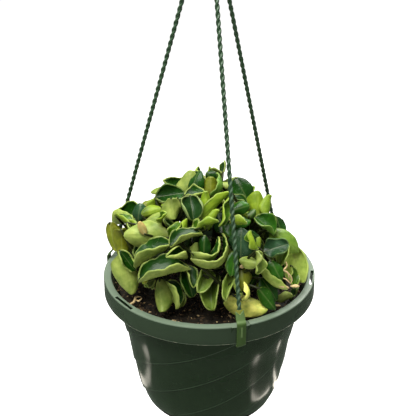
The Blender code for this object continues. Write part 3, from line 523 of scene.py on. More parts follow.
def swirled(bm):
    """Turns the outer wall's rings along the ledges and lets each panel rise to its ledge."""
    columns = SPUN // PANELS
    wear_and_painted_light = bm.verts.layers.float.new("wear_and_painted_light")
    for vert in bm.verts:
        radius, depth = vert.co.xy.length, -vert.co.z
        # the band gets scuffs and a faint painted lightening, the rim's outer edge a painted highlight, the
        # band's lower edge chips
        if depth < BAND_HEIGHT + 0.0001 and radius > RIM_RADIUS - 0.0006:
            on_band = 0.0008 < depth < BAND_HEIGHT - 0.0004
            vert[wear_and_painted_light] = BAND_SCUFFS_AND_LIGHT if on_band else PAINTED_HIGHLIGHT if depth < 0.001 else CHIPPED
        outside = radius > body_radius(depth) - WALL / 2 and BODY_TOP < depth < BODY_LOW + 0.0001
        if not outside or radius > RIM_RADIUS - 0.006:
            continue
        angle = math.degrees(math.atan2(vert.co.x, -vert.co.y))
        column = round((angle - FIRST_LEDGE) * SPUN / 360) % columns
        fade = min(1, (depth - BODY_TOP) / 0.004) * min(1, (BODY_LOW - depth) / 0.006)
        radius += LEDGE * fade * (column / (columns - 1) - 0.5)
        # the column that rises to a ledge gets a painted highlight, the column after it painted shade in the
        # crease
        if column == columns - 1:
            angle += 0.8 * 360 / SPUN * fade
            vert[wear_and_painted_light] = LEDGE_HIGHLIGHT * fade
        elif column == 0:
            vert[wear_and_painted_light] = LEDGE_SHADE * fade
        angle = math.radians(angle - SWIRL * (depth - BODY_TOP))
        vert.co.x, vert.co.y = radius * math.sin(angle), -radius * math.cos(angle)
    return bm


print("each of the", PANELS, "panels is", SPUN // PANELS, "columns of faces wide")

# %% Slots and notches
NOTCH_WIDTH, NOTCH_DEPTH, NOTCH_LENGTH = 0.0165, 0.0010, 0.012
SLOTS = (-51.5, 80.6, 196.4)
SLOT_WIDTH, SLOT_ACROSS, SLOT_HEIGHT = 0.026, 0.0028, 0.010


def box_cutter(azimuth, radius, size):
    """A hidden box round a point of the rim, for cutting; size is radial, along the rim and upright."""
    bm = bmesh.new()
    bmesh.ops.create_cube(bm, size=1)
    bmesh.ops.scale(bm, vec=size, verts=bm.verts)
    turn = Matrix.Rotation(math.radians(azimuth - 90), 4, "Z")
    place = Matrix.Translation(on_ring(azimuth, radius, 0))
    bmesh.ops.transform(bm, matrix=DOWN_TO_PLACE @ place @ turn, verts=bm.verts)
    return bpy.data.objects.new("cutter", as_mesh("cutter", bm))


def cut_away(piece, cutters):
    """Takes the cutters out of a piece's mesh and removes them."""
    group = bpy.data.collections.new("cutters")
    bpy.context.scene.collection.children.link(group)
    for cutter in cutters:
        group.objects.link(cutter)
    difference = piece.modifiers.new("cut", "BOOLEAN")
    difference.operation = "DIFFERENCE"
    difference.operand_type = "COLLECTION"
    difference.collection = group
    difference.solver = "MANIFOLD"
    cut = bpy.data.meshes.new_from_object(piece.evaluated_get(bpy.context.evaluated_depsgraph_get()))
    piece.modifiers.clear()
    piece.data = cut
    for cutter in cutters:
        bpy.data.objects.remove(cutter)
    bpy.data.collections.remove(group)


pot = finish_piece("swirled_pot", swirled(spun(pot_profile())), POT_PLASTIC, "pot", "pot")
notches = [box_cutter(FRONT_CORD + 120 * k, RIM_RADIUS - 0.002, (NOTCH_LENGTH, NOTCH_WIDTH, 2 * NOTCH_DEPTH))
           for k in range(3)]
slots = [box_cutter(azimuth, FLANGE_INNER + 0.0034, (SLOT_ACROSS, SLOT_WIDTH, SLOT_HEIGHT))
         for azimuth in SLOTS]
cut_away(pot, notches + slots)
sharpen(pot, 24)
print("the cut pot has", len(pot.data.polygons), "faces")

# %% [markdown]
# ## Clips at the rim
#
# Each cord ends in a flat strap that leans over the rim, runs down the band and hooks under it. It is a
# strip of faces bent along the line of the strap, with a V cut into its upper end where the cord goes in and
# a slanted lower end. The strip is then given its thickness and its edges are rounded.

# %% Bend a strap along a line
CLIP_WIDTH, CLIP_THICKNESS = 0.0083, 0.0016
CLIP_CROWN, RIB_RISE, CLIP_SLANT = 0.0003, 0.0004, 0.0016


def along_line(points, share):
    """The point at a share of a line's length, and the line's direction there."""
    lengths = np.cumsum([0] + [(b - a).length for a, b in zip(points, points[1:])])
    here = share * lengths[-1]
    k = min(int(np.searchsorted(lengths, here, side="right")) - 1, len(points) - 2)
    part = (here - lengths[k]) / (lengths[k + 1] - lengths[k])
    return points[k].lerp(points[k + 1], part), (points[k + 1] - points[k]).normalized()


def strap_line():
    """Middle line of the strap as (radius, height) points, from the cord down over the rim and the band."""
    face = RIM_RADIUS + 0.0003 + GAP + CLIP_THICKNESS / 2
    top_height = CORD_LOW - 3 * GAP
    top = CORD_FOOT_RADIUS * (1 - top_height / CORDS_MEET)
    low = -BAND_HEIGHT - GAP
    corners = ((top, top_height), (top + 0.0018, 0.0090), (face - 0.0022, 0.0044), (face - 0.0006, 0.0028),
               (face, 0.0012), (face, low + 0.0002), (face - 0.0003, low - 0.0007),
               (face - 0.0011, low - 0.0010), (face - 0.0026, low - 0.0010))
    return [Vector((radius, 0, height)) for radius, height in corners]


def strap(azimuth):
    """A strap with a V in its upper end, a raised rib down its middle and a slanted lower end."""
    bm = bmesh.new()
    bmesh.ops.create_grid(bm, x_segments=44, y_segments=13, size=0.5)
    wear_and_painted_light = bm.verts.layers.float.new("wear_and_painted_light")
    line = strap_line()
    for vert in bm.verts:
        share, across = vert.co.x + 0.5, 2 * vert.co.y
        on_rib = abs(across) < 0.1 and 0.40 < share < 0.70
        # painted highlights: a pale line along the rib and a paler bend over the rim
        vert[wear_and_painted_light] = PAINTED_HIGHLIGHT if on_rib else 0.6 if share < 0.3 else 0
        notch = 0.10 * (1 - abs(across)) * max(0, 1 - share * 4)
        at, ahead = along_line(line, min(1, share + notch))
        outward = Vector((-ahead.z, 0, ahead.x))
        crown = CLIP_CROWN * (1 - across * across) + RIB_RISE * on_rib
        widen = 1 - 0.10 * max(0, 1 - share * 5)
        slant = CLIP_SLANT * (1 - across) / 2 * min(1, max(0, share - 0.7) / 0.12)
        vert.co = at + outward * crown + Vector((0, across * CLIP_WIDTH / 2 * widen, -slant))
    bm.normal_update()
    for vert in bm.verts:
        vert.co -= vert.normal * CLIP_THICKNESS / 2
    bmesh.ops.solidify(bm, geom=bm.faces[:], thickness=-CLIP_THICKNESS)
    bmesh.ops.recalc_face_normals(bm, faces=bm.faces)
    rims = [edge for edge in bm.edges if edge.calc_face_angle(0) > math.radians(60)]
    bmesh.ops.bevel(bm, geom=rims, offset=0.0003, segments=2, profile=0.5, affect="EDGES", material=-1)
    turn = Matrix.Rotation(math.radians(azimuth - 90), 3, "Z")
    bmesh.ops.rotate(bm, cent=(0, 0, 0), matrix=turn, verts=bm.verts)
    return bm


for k in range(3):
    finish_piece(f"rim_clip_{k + 1}", strap(FRONT_CORD + 120 * k), CLIP_PLASTIC, "hanger", f"clip_{k + 1}")

# %% [markdown]
# ## Collar and hook
#
# Above the photograph's edge the three cords run into a small collar with an open hook. They are finished as
# such hangers usually are. The collar is spun, and the hook is a tube: a grid of faces rolled up along a
# curved line and closed at its ends. The stems and stalks of the plant are made by the same helper.

# %% Roll a tube along points
def smooth_path(points, count):
    """Points on a smooth curve through the given ones."""
    p = [2 * points[0] - points[1]] + list(points) + [2 * points[-1] - points[-2]]
    last = len(points) - 1
    made = []
    for k in range(count):
        t = k / (count - 1) * last
        i = min(int(t), last - 1)
        t -= i
        a, b, c, d = p[i:i + 4]
        made.append(0.5 * (2 * b + (c - a) * t + (2 * a - 5 * b + 4 * c - d) * t * t
                           + (3 * b - a - 3 * c + d) * t**3))
    return made


def add_tube(bm, points, radii, sides=10):
    """A closed tube in the bmesh along points, with a radius at each; returns its vertices."""
    rows = len(points) - 1
    made = bmesh.ops.create_grid(bm, x_segments=rows, y_segments=sides, size=1)["verts"]
    ahead = [(b - a).normalized() for a, b in zip(points[:1] + points[:-1], points[1:] + points[-1:])]
    beside = [ahead[0].orthogonal().normalized()]
    for direction in ahead[1:]:
        turned = beside[-1] - direction * beside[-1].dot(direction)
        beside.append(turned.normalized())
    for vert in made:
        row = round((vert.co.x + 1) / 2 * rows)
        angle = (vert.co.y + 1) * math.pi
        out = beside[row] * math.cos(angle) + ahead[row].cross(beside[row]) * math.sin(angle)
        vert.co = points[row] + out * radii[row]
    bmesh.ops.remove_doubles(bm, verts=made, dist=0.000005)
    made = [vert for vert in made if vert.is_valid]
    open_edges = [edge for vert in made for edge in vert.link_edges if edge.is_boundary]
    bmesh.ops.holes_fill(bm, edges=list(set(open_edges)))
    return made


corner = [Vector((0, 0, 0)), Vector((0, 0, 0.01)), Vector((0.01, 0, 0.01))]
print("a smooth path through a corner of 90 degrees has", len(smooth_path(corner, 9)), "points")

# %% Collar and hook
COLLAR_RADIUS, COLLAR_TOP = 0.0085, COLLAR_LOW + 0.0120
HOOK_WIRE, HOOK_INNER = 0.0024, 0.0085


def collar_and_hook():
    bevel = 0.0006
    profile = [(0, COLLAR_TOP + 0.006), (HOOK_WIRE, COLLAR_TOP + 0.006),
               (HOOK_WIRE + bevel, COLLAR_TOP + 0.0052), (COLLAR_RADIUS - 0.0026, COLLAR_TOP + 0.0010),
               (COLLAR_RADIUS - 0.0012, COLLAR_TOP),
               (COLLAR_RADIUS - 0.0003, COLLAR_TOP - 0.0008), (COLLAR_RADIUS, COLLAR_TOP - 0.0018),
               (COLLAR_RADIUS, COLLAR_LOW + 0.0070), (COLLAR_RADIUS - bevel, COLLAR_LOW + 0.0064),
               (COLLAR_RADIUS - bevel, COLLAR_LOW + 0.0050), (COLLAR_RADIUS, COLLAR_LOW + 0.0044),
               (COLLAR_RADIUS, COLLAR_LOW + 0.0012), (COLLAR_RADIUS - 0.0010, COLLAR_LOW), (0, COLLAR_LOW)]
    bm = spun(profile, 48)
    radius = HOOK_INNER + HOOK_WIRE
    middle = HOOK_TOP - HOOK_INNER
    corners = [Vector((0, 0, COLLAR_TOP + 0.004)), Vector((0, 0, COLLAR_TOP + 0.006)),
               Vector((-0.0018, 0, COLLAR_TOP + 0.0105))]
    for degrees in range(45, 296, 25):
        a = math.radians(degrees)
        corners.append(Vector((-radius * math.sin(a), 0, middle - radius * math.cos(a))))
    points = smooth_path(corners, 70)
    radii = [HOOK_WIRE] * 68 + [HOOK_WIRE * 0.88, HOOK_WIRE * 0.5]
    add_tube(bm, points, radii, 16)
    return bm


hook = finish_piece("collar_and_hook", collar_and_hook(), CLIP_PLASTIC, "hanger", "hook")
sharpen(hook, 50)

# %% [markdown]
# ## Potting mix
#
# The mix is a dark peat with bark, roots and a few dry bits. A disc with rough ground gives its surface, and
# over it lie some four thousand crumbs of twenty faces each. Every crumb carries a shade of its own, which
# the material turns into near black, brown or tan.

# %% Material of the mix
SOIL_DEPTH, SOIL_RISE = 0.0125, 0.004


def soil_material():
    made, tree, shader = new_material("potting_mix", Specular_IOR_Level=0.25)
    shade = node(tree, "Attribute", attribute_name="shade").outputs["Fac"]
    drift = use_group(tree, TONE, Size=0.004, Contrast=0.8)["Factor"]
    both = maths(tree, "MULTIPLY_ADD", drift, 0.25, shade)
    ramp = node(tree, "ValToRGB", ((0, both),))
    stops = ((0.0, colour(14, 12, 9)), (0.36, colour(33, 29, 22)), (0.62, colour(72, 60, 45)),
             (0.84, colour(138, 110, 80)), (1.0, colour(206, 180, 132)))
    elements = ramp.color_ramp.elements
    while len(elements) < len(stops):
        elements.new(0.5)
    for element, (place, tone) in zip(elements, stops):
        element.position = place
        element.color = (*tone, 1)
    tree.links.new(ramp.outputs["Color"], shader.inputs["Base Color"])
    tree.links.new(ranged(tree, both, 0.2, 0.9, 0.72, 0.95), shader.inputs["Roughness"])
    tree.links.new(use_group(tree, GRAIN, Size=0.0012, Height=0.0003)["Normal"], shader.inputs["Normal"])
    return made


SOIL_MATERIAL = soil_material()


def soil_top(radius):
    """Height of the soil above the rim, a low dome."""
    return -SOIL_DEPTH + SOIL_RISE * (1 - (radius / RIM_RADIUS) ** 2)


print(f"the middle of the soil lies {-soil_top(0):.4f} m below the rim")

# %% Rough ground
GROUND_RINGS, GROUND_SPOKES = 84, 200
LUMP_HEIGHT, GRIT_HEIGHT = 0.0016, 0.0007


def ground():
    edge = body_radius(SOIL_DEPTH) - WALL - 2 * GAP
    radii = np.linspace(0, edge, GROUND_RINGS)
    profile = [(radius, soil_top(radius)) for radius in radii]
    profile += [(body_radius(0.03) - WALL - GAP, -0.03), (0.05, -0.032), (0, -0.032)]
    made = spun(profile, GROUND_SPOKES)
    shade = made.verts.layers.float.new("shade")
    for vert in made.verts:
        if vert.co.z > -0.02:
            fade = min(1, (edge - vert.co.xy.length) / 0.004)
            lumps = noise.fractal(vert.co * 160, 0.7, 2.2, 5)
            grit = noise.noise(vert.co * 700)
            vert.co.z += (LUMP_HEIGHT * lumps + GRIT_HEIGHT * grit) * fade
            vert[shade] = 0.20 + 0.12 * lumps + 0.24 * grit
    return made


finish_piece("potting_mix", ground(), SOIL_MATERIAL, "soil", "soil")

# %% Crumbs
CRUMBS, CRUMBS_REACH = 4200, 0.0905


def crumbs(count, draw):
    """One batch of crumbs; small batches are quick, because an operator looks at its whole bmesh."""
    bm = bmesh.new()
    shade = bm.verts.layers.float.new("shade")
    for _ in range(count):
        radius = CRUMBS_REACH * math.sqrt(draw.uniform(0.02, 1))
        azimuth = draw.uniform(0, 360)
        size = 0.0005 + 0.0012 * draw.random() ** 2.5
        dark = draw.random()
        made = bmesh.ops.create_icosphere(bm, subdivisions=1, radius=size)["verts"]
        stretch = Vector((draw.uniform(0.6, 2.2), draw.uniform(0.5, 1.1), draw.uniform(0.35, 0.9)))
        turn = Matrix.Rotation(draw.uniform(0, math.tau), 4, Vector([draw.gauss(0, 1) for _ in range(3)]))
        place = Matrix.Translation(on_ring(azimuth, radius, soil_top(radius) + 0.0004))
        for vert in made:
            vert.co *= draw.uniform(0.75, 1.2)
            vert[shade] = 0.06 + 0.60 * dark if dark < 0.89 else 0.5 + 0.45 * (dark - 0.89) / 0.11
        bmesh.ops.transform(bm, matrix=place @ turn @ Matrix.Diagonal((*stretch, 1)), verts=made)
    return as_mesh("batch", bm)


def all_crumbs(batches, seed):
    draw = random.Random(seed)
    whole = bmesh.new()
    for _ in range(batches):
        batch = crumbs(CRUMBS // batches, draw)
        whole.from_mesh(batch)
        bpy.data.meshes.remove(batch)
    bmesh.ops.recalc_face_normals(whole, faces=whole.faces)
    return whole


finish_piece("soil_crumbs", all_crumbs(batches=70, seed=5), SOIL_MATERIAL, "soil", smooth=False)

# %% [markdown]
# ## Dry bits
#
# A few larger things lie on the mix and hang among the leaves: bark chips, a shrivelled leaf, papery sheaths
# and a cut stem. Each is placed where the photograph shows it, by following the line of sight through that
# point of the picture down to the soil, or on to the front of the foliage.

# %% Place things by the picture
def sight(px, py):
    """Direction from the eye through a point of the picture, in its pixels."""
    spread = SENSOR / LENS
    return RIGHT * (px / PICTURE - 0.5) * spread + UP * (0.5 - py / PICTURE) * spread - TOWARD


def seen_on_soil(px, py, lift=0.0):
    """The point of the soil that the picture shows there."""
    aim = sight(px, py)
    point = EYE + aim * (-SOIL_DEPTH - EYE.z) / aim.z
    for _ in range(3):
        point = EYE + aim * (soil_top(point.xy.length) + lift - EYE.z) / aim.z
    return point


def seen_at_depth(px, py, near):
    """The point seen there in the upright plane that lies near metres in front of the pot's axis."""
    aim = sight(px, py)
    return EYE + aim * (-near - EYE.y) / aim.y


print("soil seen below the plant lies", round(seen_on_soil(171, 324).xy.length, 3), "m from the pot's axis")

# %% Shape the dry bits
def shaded(bm, verts, tone):
    shade = bm.verts.layers.float["shade"]
    for vert in verts:
        vert[shade] = tone


def add_chip(bm, place, size, turn, tone, draw):
    """A rough flat chip of bark; size is its three half lengths, turn its azimuth."""
    made = bmesh.ops.create_icosphere(bm, subdivisions=2, radius=1)["verts"]
    for vert in made:
        vert.co *= draw.uniform(0.82, 1.12)
    tilt = Matrix.Rotation(draw.uniform(-0.35, 0.35), 4, "X") @ Matrix.Rotation(math.radians(turn), 4, "Z")
    bmesh.ops.transform(bm, matrix=Matrix.Translation(place) @ tilt @ Matrix.Diagonal((*size, 1)), verts=made)
    shaded(bm, made, tone)


def add_shred(bm, points, width, tone):
    """A dry curled shred along points: a tube that is pressed flat and thins towards both ends."""
    line = smooth_path(points, 22)
    radii = [width * (0.25 + 0.75 * math.sin(math.pi * share)) for share in np.linspace(0.04, 0.96, 22)]
    shaded(bm, add_tube(bm, line, radii, 7), tone)


def dry_bits():
    draw = random.Random(9)
    bm = bmesh.new()
    bm.verts.layers.float.new("shade")
    for px, py, length, turn, tone in (
            (163, 321, 3.2, 20, 0.84), (171, 324, 2.4, 70, 0.9), (181, 326, 1.6, 120, 0.97),
            (178, 322, 1.5, 10, 0.8), (187, 325, 1.7, 50, 0.86), (150, 312, 1.6, 0, 0.8),
            (206, 305, 1.2, 80, 0.86), (217, 322, 1.4, 90, 0.95), (144, 303, 1.3, 30, 0.78),
            (195, 327, 2.0, 160, 0.82), (115, 283, 2.2, 80, 0.86), (277, 306, 3.4, 15, 0.9),
            (284, 300, 2.2, 70, 0.95), (230, 312, 1.5, 60, 0.9), (112, 289, 1.8, 40, 0.8)):
        place = seen_on_soil(px, py, 0.0012)
        add_chip(bm, place, (length / 1000, length / 1700, length / 2800), turn, tone, draw)
    add_shred(bm, [seen_on_soil(*spot) for spot in ((131, 311, 0.001), (130, 305, 0.004), (134, 302, 0.007),
                                                     (136, 297, 0.010), (141, 297, 0.008))], 0.0013, 0.97)
    add_shred(bm, [seen_on_soil(*spot) for spot in ((136, 300, 0.008), (139, 301, 0.009), (142, 298, 0.007))],
              0.0009, 1.0)
    for spots, width, tone in (
            (((286, 262), (287, 266), (284, 270), (288, 273), (289, 278)), 0.0008, 1.0),
            (((284, 271), (290, 275), (292, 280), (290, 284)), 0.0006, 0.95),
            (((283, 278), (287, 280), (291, 284)), 0.0006, 1.0),
            (((276, 285), (282, 286), (289, 288)), 0.0018, 0.86)):
        add_shred(bm, [seen_at_depth(px, py, 0.075) for px, py in spots], width, tone)
    add_chip(bm, seen_at_depth(243, 266, 0.070), (0.0040, 0.0009, 0.0024), 30, 0.97, draw)
    add_chip(bm, seen_at_depth(295, 286, 0.070), (0.0042, 0.0020, 0.0012), 5, 0.96, draw)
    return bm


finish_piece("dry_bits", dry_bits(), SOIL_MATERIAL, "soil")

# %% [markdown]
# ## How a leaf is described
#
# A hindu rope leaf is a thick oval blade that is folded at its midrib, curled in at its margins and bent
# along its length. Those few angles, with a place and a direction, describe every leaf of the plant. The
# leaves that the photograph shows are set out one by one, as they are seen from the front.

# %% One leaf
MOUND = Vector((0.096, 0.086, 0.070))
MOUND_HEIGHT = 0.022


def on_mound(across, up, out):
    """The point of the plant's rounded outer form seen at (across, up), moved out towards the eye."""
    start = Vector(np.divide(EYE - Vector((0, 0, MOUND_HEIGHT)), MOUND))
    aim = RIGHT * across + UP * up - EYE
    ray = Vector(np.divide(aim, MOUND))
    a, b, c = ray.dot(ray), 2 * ray.dot(start), start.dot(start) - 1
    inside = max(b * b - 4 * a * c, 0)
    hit = EYE + aim * (-b - math.sqrt(inside)) / (2 * a)
    return hit + (EYE - hit).normalized() * out


def leaf(name, place, toward, up, turn, face, size, fold, curl, lean=0, bend=0, twist=0, hook=0, wave=0,
         pinch=1, taper=0.6, tone="pale", roll=None):
    """One leaf; size in mm, angles in degrees.

    toward and up are the directions that it is laid out by. turn is the midrib's direction in their
    plane, lean its rise out of it, and face rolls the blade about it: 0 shows the upper side, 180 the lower.
    fold lifts both halves at the midrib and curl is how far each half turns on to its margin.
    bend arches the midrib, hook adds to that at the tip, twist turns the blade along it.
    A pinch under 1 curls it nearest the midrib, and a low taper gives it blunt ends. roll turns the last
    quarter of each half further, or back where it is negative, in the fine leaves only.
    """
    return {"name": name, "place": Vector(place), "toward": toward, "up": up, "turn": turn, "lean": lean,
            "face": face, "size": (size[0] / 1000, size[1] / 1000), "fold": fold, "curl": curl, "bend": bend,
            "twist": twist, "hook": hook, "wave": wave / 1000, "pinch": pinch, "taper": taper, "tone": tone,
            "roll": roll}


def front_leaf(name, at, out, turn, face, size, fold, curl, tilt=0, swing=0, **more):
    """A leaf set out as it is seen from the front: at is (across, up) in mm from the rim's middle."""
    toward = TOWARD * math.cos(math.radians(tilt)) + UP * math.sin(math.radians(tilt))
    up = UP * math.cos(math.radians(tilt)) - TOWARD * math.sin(math.radians(tilt))
    toward = toward * math.cos(math.radians(swing)) + RIGHT * math.sin(math.radians(swing))
    place = on_mound(at[0] / 1000, at[1] / 1000, out / 1000)
    return leaf(name, place, toward, up, turn, face, size, fold, curl, **more)


print(f"the mound is {2 * MOUND.x:.3f} m wide and rises {MOUND.z + MOUND_HEIGHT:.3f} m above the rim")

# %% Leaves seen from the front
def front_leaves():
    """The leaves that give the front its look, in the order in which they are placed."""
    f = front_leaf
    return [
        f("ring_outer", (12, 5), -6, 45, 92, (64, 23), 4, (14, 12), tilt=26, swing=24, bend=-200, roll=15),
        f("ring_inner", (4, 10), -5, 40, 92, (47, 18), 4, (12, 12), tilt=26, swing=20, bend=-210, roll=15),
        f("loop_middle", (4, -19), -19, -88, 0, (38, 32), 6, (72, 72), lean=28, pinch=0.45, taper=0.35,
          tone="inside", roll=-35),
        f("loop_right", (15, -15), -17, -84, 4, (32, 20), 30, (54, 54), lean=15, pinch=0.6, taper=0.35,
          tone="inside", roll=-30),
        f("ring_heart", (-5, 21), -4, 90, 8, (22, 14), -8, (-35, -35), lean=8, bend=25, tone="dark"),
        f("front_boat", (-44, -5), 0, 13, 60, (48, 36), 24, (45, 58), bend=24, twist=-14, wave=1.6, roll=12),
        f("loop_left", (-7, -14), -22, -98, -8, (28, 24), 6, (70, 70), lean=20, pinch=0.5, taper=0.35,
          tone="inside", roll=-35),
        f("under_broad", (-53, 12), -1, 34, 62, (42, 32), 28, (38, 48), bend=14, roll=10),
        f("broad_pale", (-59, 28), 2, 183, 186, (46, 32), 8, (32, 42), lean=5, bend=-22, wave=1.5, roll=-25),
        f("dark_boat", (-23, 29), 0, 22, 58, (32, 24), 22, (42, 50), bend=18, roll=12),
        f("left_roll", (-79, -5), -4, -80, 192, (42, 42), 8, (85, 105), lean=-15, bend=-32, twist=20,
          taper=0.5, roll=20),
        f("round_blue", (30, 25), 1, 80, 6, (28, 31), -4, (-28, -24), bend=16, tone="blue", roll=5),
        f("yellow", (38, -36), -3, -27, 176, (48, 28), 14, (45, 35), bend=10, tone="yellow", roll=-20),
        f("yellow_fold_front", (53, -31), 1, -52, 12, (28, 18), -14, (-50, -40), bend=20, tone="green"),
        f("yellow_fold_back", (60, -22), -1, -60, 30, (26, 20), 10, (-30, -30), bend=15, tone="dark"),
        f("hanging_fold", (-47, -26), -7, -84, 164, (30, 30), 14, (84, 66), lean=5, bend=-26, taper=0.5,
          roll=10),
        f("hanging_lobe", (-35, -25), -6, -70, 76, (27, 24), 18, (50, 44), bend=14, taper=0.5, roll=15),
        f("olive_pod", (-53, 45), 3, 5, 178, (26, 25), 12, (76, 76), bend=-22, roll=-20),
        f("top_ball", (-20, 82), -2, 80, 178, (27, 30), 8, (76, 78), bend=-50, roll=-20),
        f("top_ball_dark", (-11, 82), -2, 84, 30, (27, 20), -6, (-45, -45), bend=30, tone="dark"),
        f("top_dark", (33, 75), -1, -62, 8, (30, 28), -6, (-52, -45), bend=35, tone="dark"),
        f("grey_cup", (-17, 59), 0, -82, 6, (24, 32), 16, (70, 70), lean=18, tone="grey"),
        f("twist_bright", (5, 61), 2, 43, 140, (38, 17), 10, (35, 25), twist=60, tone="bright", roll=-50),
        f("twist_curl", (12, 54), 3, -78, 88, (40, 15), 6, (18, 18), bend=-120, hook=120, tone="bright"),
        f("bud", (47, 63), 1, 88, 172, (25, 28), 14, (75, 66), bend=-30, tone="bright", roll=15),
        f("bud_side", (55, 60), 1, 76, 140, (22, 18), 26, (45, 45), bend=-15, tone="bright"),
        f("right_cup", (54, 42), 2, -42, 40, (24, 26), 16, (92, 78), lean=10, bend=12, taper=0.5,
          tone="green", roll=-60),
        f("wavy_right", (84, 3), 0, -75, 10, (33, 34), 10, (88, 38), bend=14, wave=2.2, taper=0.5,
          tone="fresh", roll=60),
        f("dark_convex", (65, -2), 6, -62, 5, (22, 18), -12, (-48, -42), bend=25, tone="green"),
        f("edge_curl", (58, -10), -2, -52, 105, (40, 20), 12, (38, 32), lean=5, bend=-80),
        f("left_olive", (-85, 25), 3, -86, 188, (31, 27), 14, (80, 78), bend=26, taper=0.5,
          tone="olive", roll=10),
        f("far_left", (-94, 31), 0, -78, 168, (28, 25), 12, (76, 70), bend=-25, taper=0.5, tone="olive",
          roll=10),
        f("rolled_cup", (-29, 14), -4, 192, -62, (25, 28), 20, (100, 95), lean=35),
        f("right_slope", (73, 26), 0, -36, 14, (34, 24), -6, (-32, -40), bend=22, tone="light"),
        f("pale_convex", (-36, 55), 0, -72, 176, (20, 26), 10, (66, 70), bend=-20, roll=10),
        f("top_left_wave", (-38, 71), -2, 10, 26, (28, 27), 12, (84, 52), bend=-18, wave=2.0, taper=0.5,
          tone="dark"),
        f("top_left_curl", (-46, 79), -1, 190, 112, (24, 18), 20, (45, 42), bend=-60),
        f("top_cup", (-14, 72), 1, 12, 52, (20, 20), 20, (48, 45), bend=-60),
        f("top_olive", (1, 79), -1, 88, 178, (20, 24), 10, (78, 78), bend=-25, tone="olive", roll=10),
        f("top_small", (3, 89), -3, 150, 25, (15, 14), -8, (-40, -45), tone="dark"),
        f("top_arch", (14, 80), 0, 70, 92, (32, 15), 5, (15, 15), tilt=20, bend=-160, tone="green"),
        f("ball", (31, -11), -6, -88, 180, (21, 30), 12, (88, 88), bend=-50, tone="olive", roll=-20),
        f("ball_curl", (22, -17), -4, -60, 88, (22, 9), 15, (10, 10), bend=-150),
        f("cluster_left", (44, 24), 1, 100, 98, (20, 15), 35, (42, 32), lean=10, tone="bright"),
        f("cluster_mid", (50, 20), 2, 82, 135, (20, 14), 25, (42, 42), lean=5, bend=-20, tone="bright"),
        f("cluster_low", (38, 9), 1, 170, 160, (17, 15), 20, (52, 52), lean=10, roll=-60),
        f("twist_down", (47, 6), 1, -80, 40, (24, 18), 16, (66, 10), lean=5, twist=60, tone="inside"),
        f("ruffled_blue", (64, 19), 0, 20, 20, (24, 22), 5, (35, 22), wave=2.2, tone="blue", roll=60),
        f("ruffled_low", (62, 9), -1, 5, 26, (24, 20), 8, (38, 30), wave=1.8, tone="blue"),
        f("behind_strand", (19, 5), -4, -80, 20, (26, 16), 10, (-20, -20), tone="green"),
        f("left_stack_top", (-80, 47), 0, -27, 60, (25, 17), 20, (42, 32), lean=10, bend=15, tone="bright"),
        f("left_stack_low", (-77, 41), 2, -32, 66, (24, 16), 24, (34, 30), lean=5, bend=10, tone="bright"),
        f("left_curl", (-73, 35), 1, -10, 95, (26, 11), 5, (20, 20), bend=-190, tone="bright"),
        f("left_tan", (-64, 39), 2, 120, 170, (13, 9), 15, (40, 40), tone="tan"),
        f("left_blue", (-68, 55), -2, 80, 15, (17, 18), -5, (-42, -42), bend=20, tone="blue"),
        f("above_pod", (-55, 55), 0, 12, 160, (19, 16), 12, (62, 62), tone="bright"),
        f("behind_pod", (-50, 64), -1, 74, 120, (18, 15), 25, (50, 50), tone="bright"),
        f("small_dark", (-33, 37), -3, 60, 25, (17, 13), 20, (40, 40), tone="bright"),
        f("ring_side", (-13, 17), 2, 82, 160, (20, 14), 15, (45, 45), lean=5, bend=-20),
        f("ring_top_left", (-25, 41), 1, 100, 110, (18, 15), 25, (52, 52), tone="bright"),
        f("ring_top_mid", (-15, 38), 2, 84, 60, (16, 14), 30, (46, 36), tone="bright"),
        f("ring_top_right", (-2, 42), 3, 15, 115, (20, 13), 20, (42, 32), bend=20, tone="bright"),
        f("fold_left_of_loops", (-17, -7), -10, -75, 30, (22, 16), 30, (38, 38), lean=10),
        f("twist_low", (3, 47), 1, 62, 150, (22, 12), 15, (35, 35), tone="bright"),
        f("pale_wedge", (-3, 65), 0, 95, 168, (20, 13), 20, (35, 35), tone="bright"),
        f("top_stripe", (30, 65), 1, -38, 58, (22, 13), 24, (34, 24), tone="dark"),
        f("mid_green_top", (32, 58), 1, 8, 18, (18, 15), -8, (-42, -38), bend=15, tone="green"),
        f("mid_green_a", (30, 45), 1, 5, 20, (17, 13), -6, (-38, -38), tone="green"),
        f("mid_green_b", (33, 39), 3, 6, 165, (19, 14), 12, (48, 48), tone="bright", roll=-50),
        f("right_dark", (68, 41), -2, -72, 18, (20, 20), -6, (-44, -44), bend=20, tone="dark"),
        f("yellow_curl", (39, -21), -3, 80, 90, (22, 11), 15, (15, 15), bend=-160, tone="yellow"),
        f("rim_pale", (73, -28), -2, 20, 172, (16, 11), 15, (48, 48)),
        f("rim_dark", (81, -26), -2, 62, 50, (17, 10), 20, (34, 34), tone="dark"),
        f("rim_curl", (87, -31), -2, -8, 80, (20, 13), 20, (34, 34), bend=-70, tone="yellow"),
        f("left_roll_tip", (-86, -23), 1, -60, 200, (14, 22), 10, (110, 100), lean=50, taper=0.5),
        f("under_dark", (-20, -14), -15, -74, 14, (28, 20), 8, (40, 34), tone="dark"),
        f("under_fold", (-28, -26), -16, -60, 30, (22, 16), 14, (45, 40), tone="inside"),
    ]


print(len(front_leaves()), "leaves are set out by hand")

# %% [markdown]
# ## Leaves by a rule
#
# Inside, at the sides and behind, more leaves fill the mound in rings, each of one of five forms. A few then
# peep out from behind large ones. Small young leaves are scattered in what gaps are left, every third one
# deeper inside, where it is dark. The random draws start from fixed seeds, so the plant grows in the same way
# each time that the script runs.

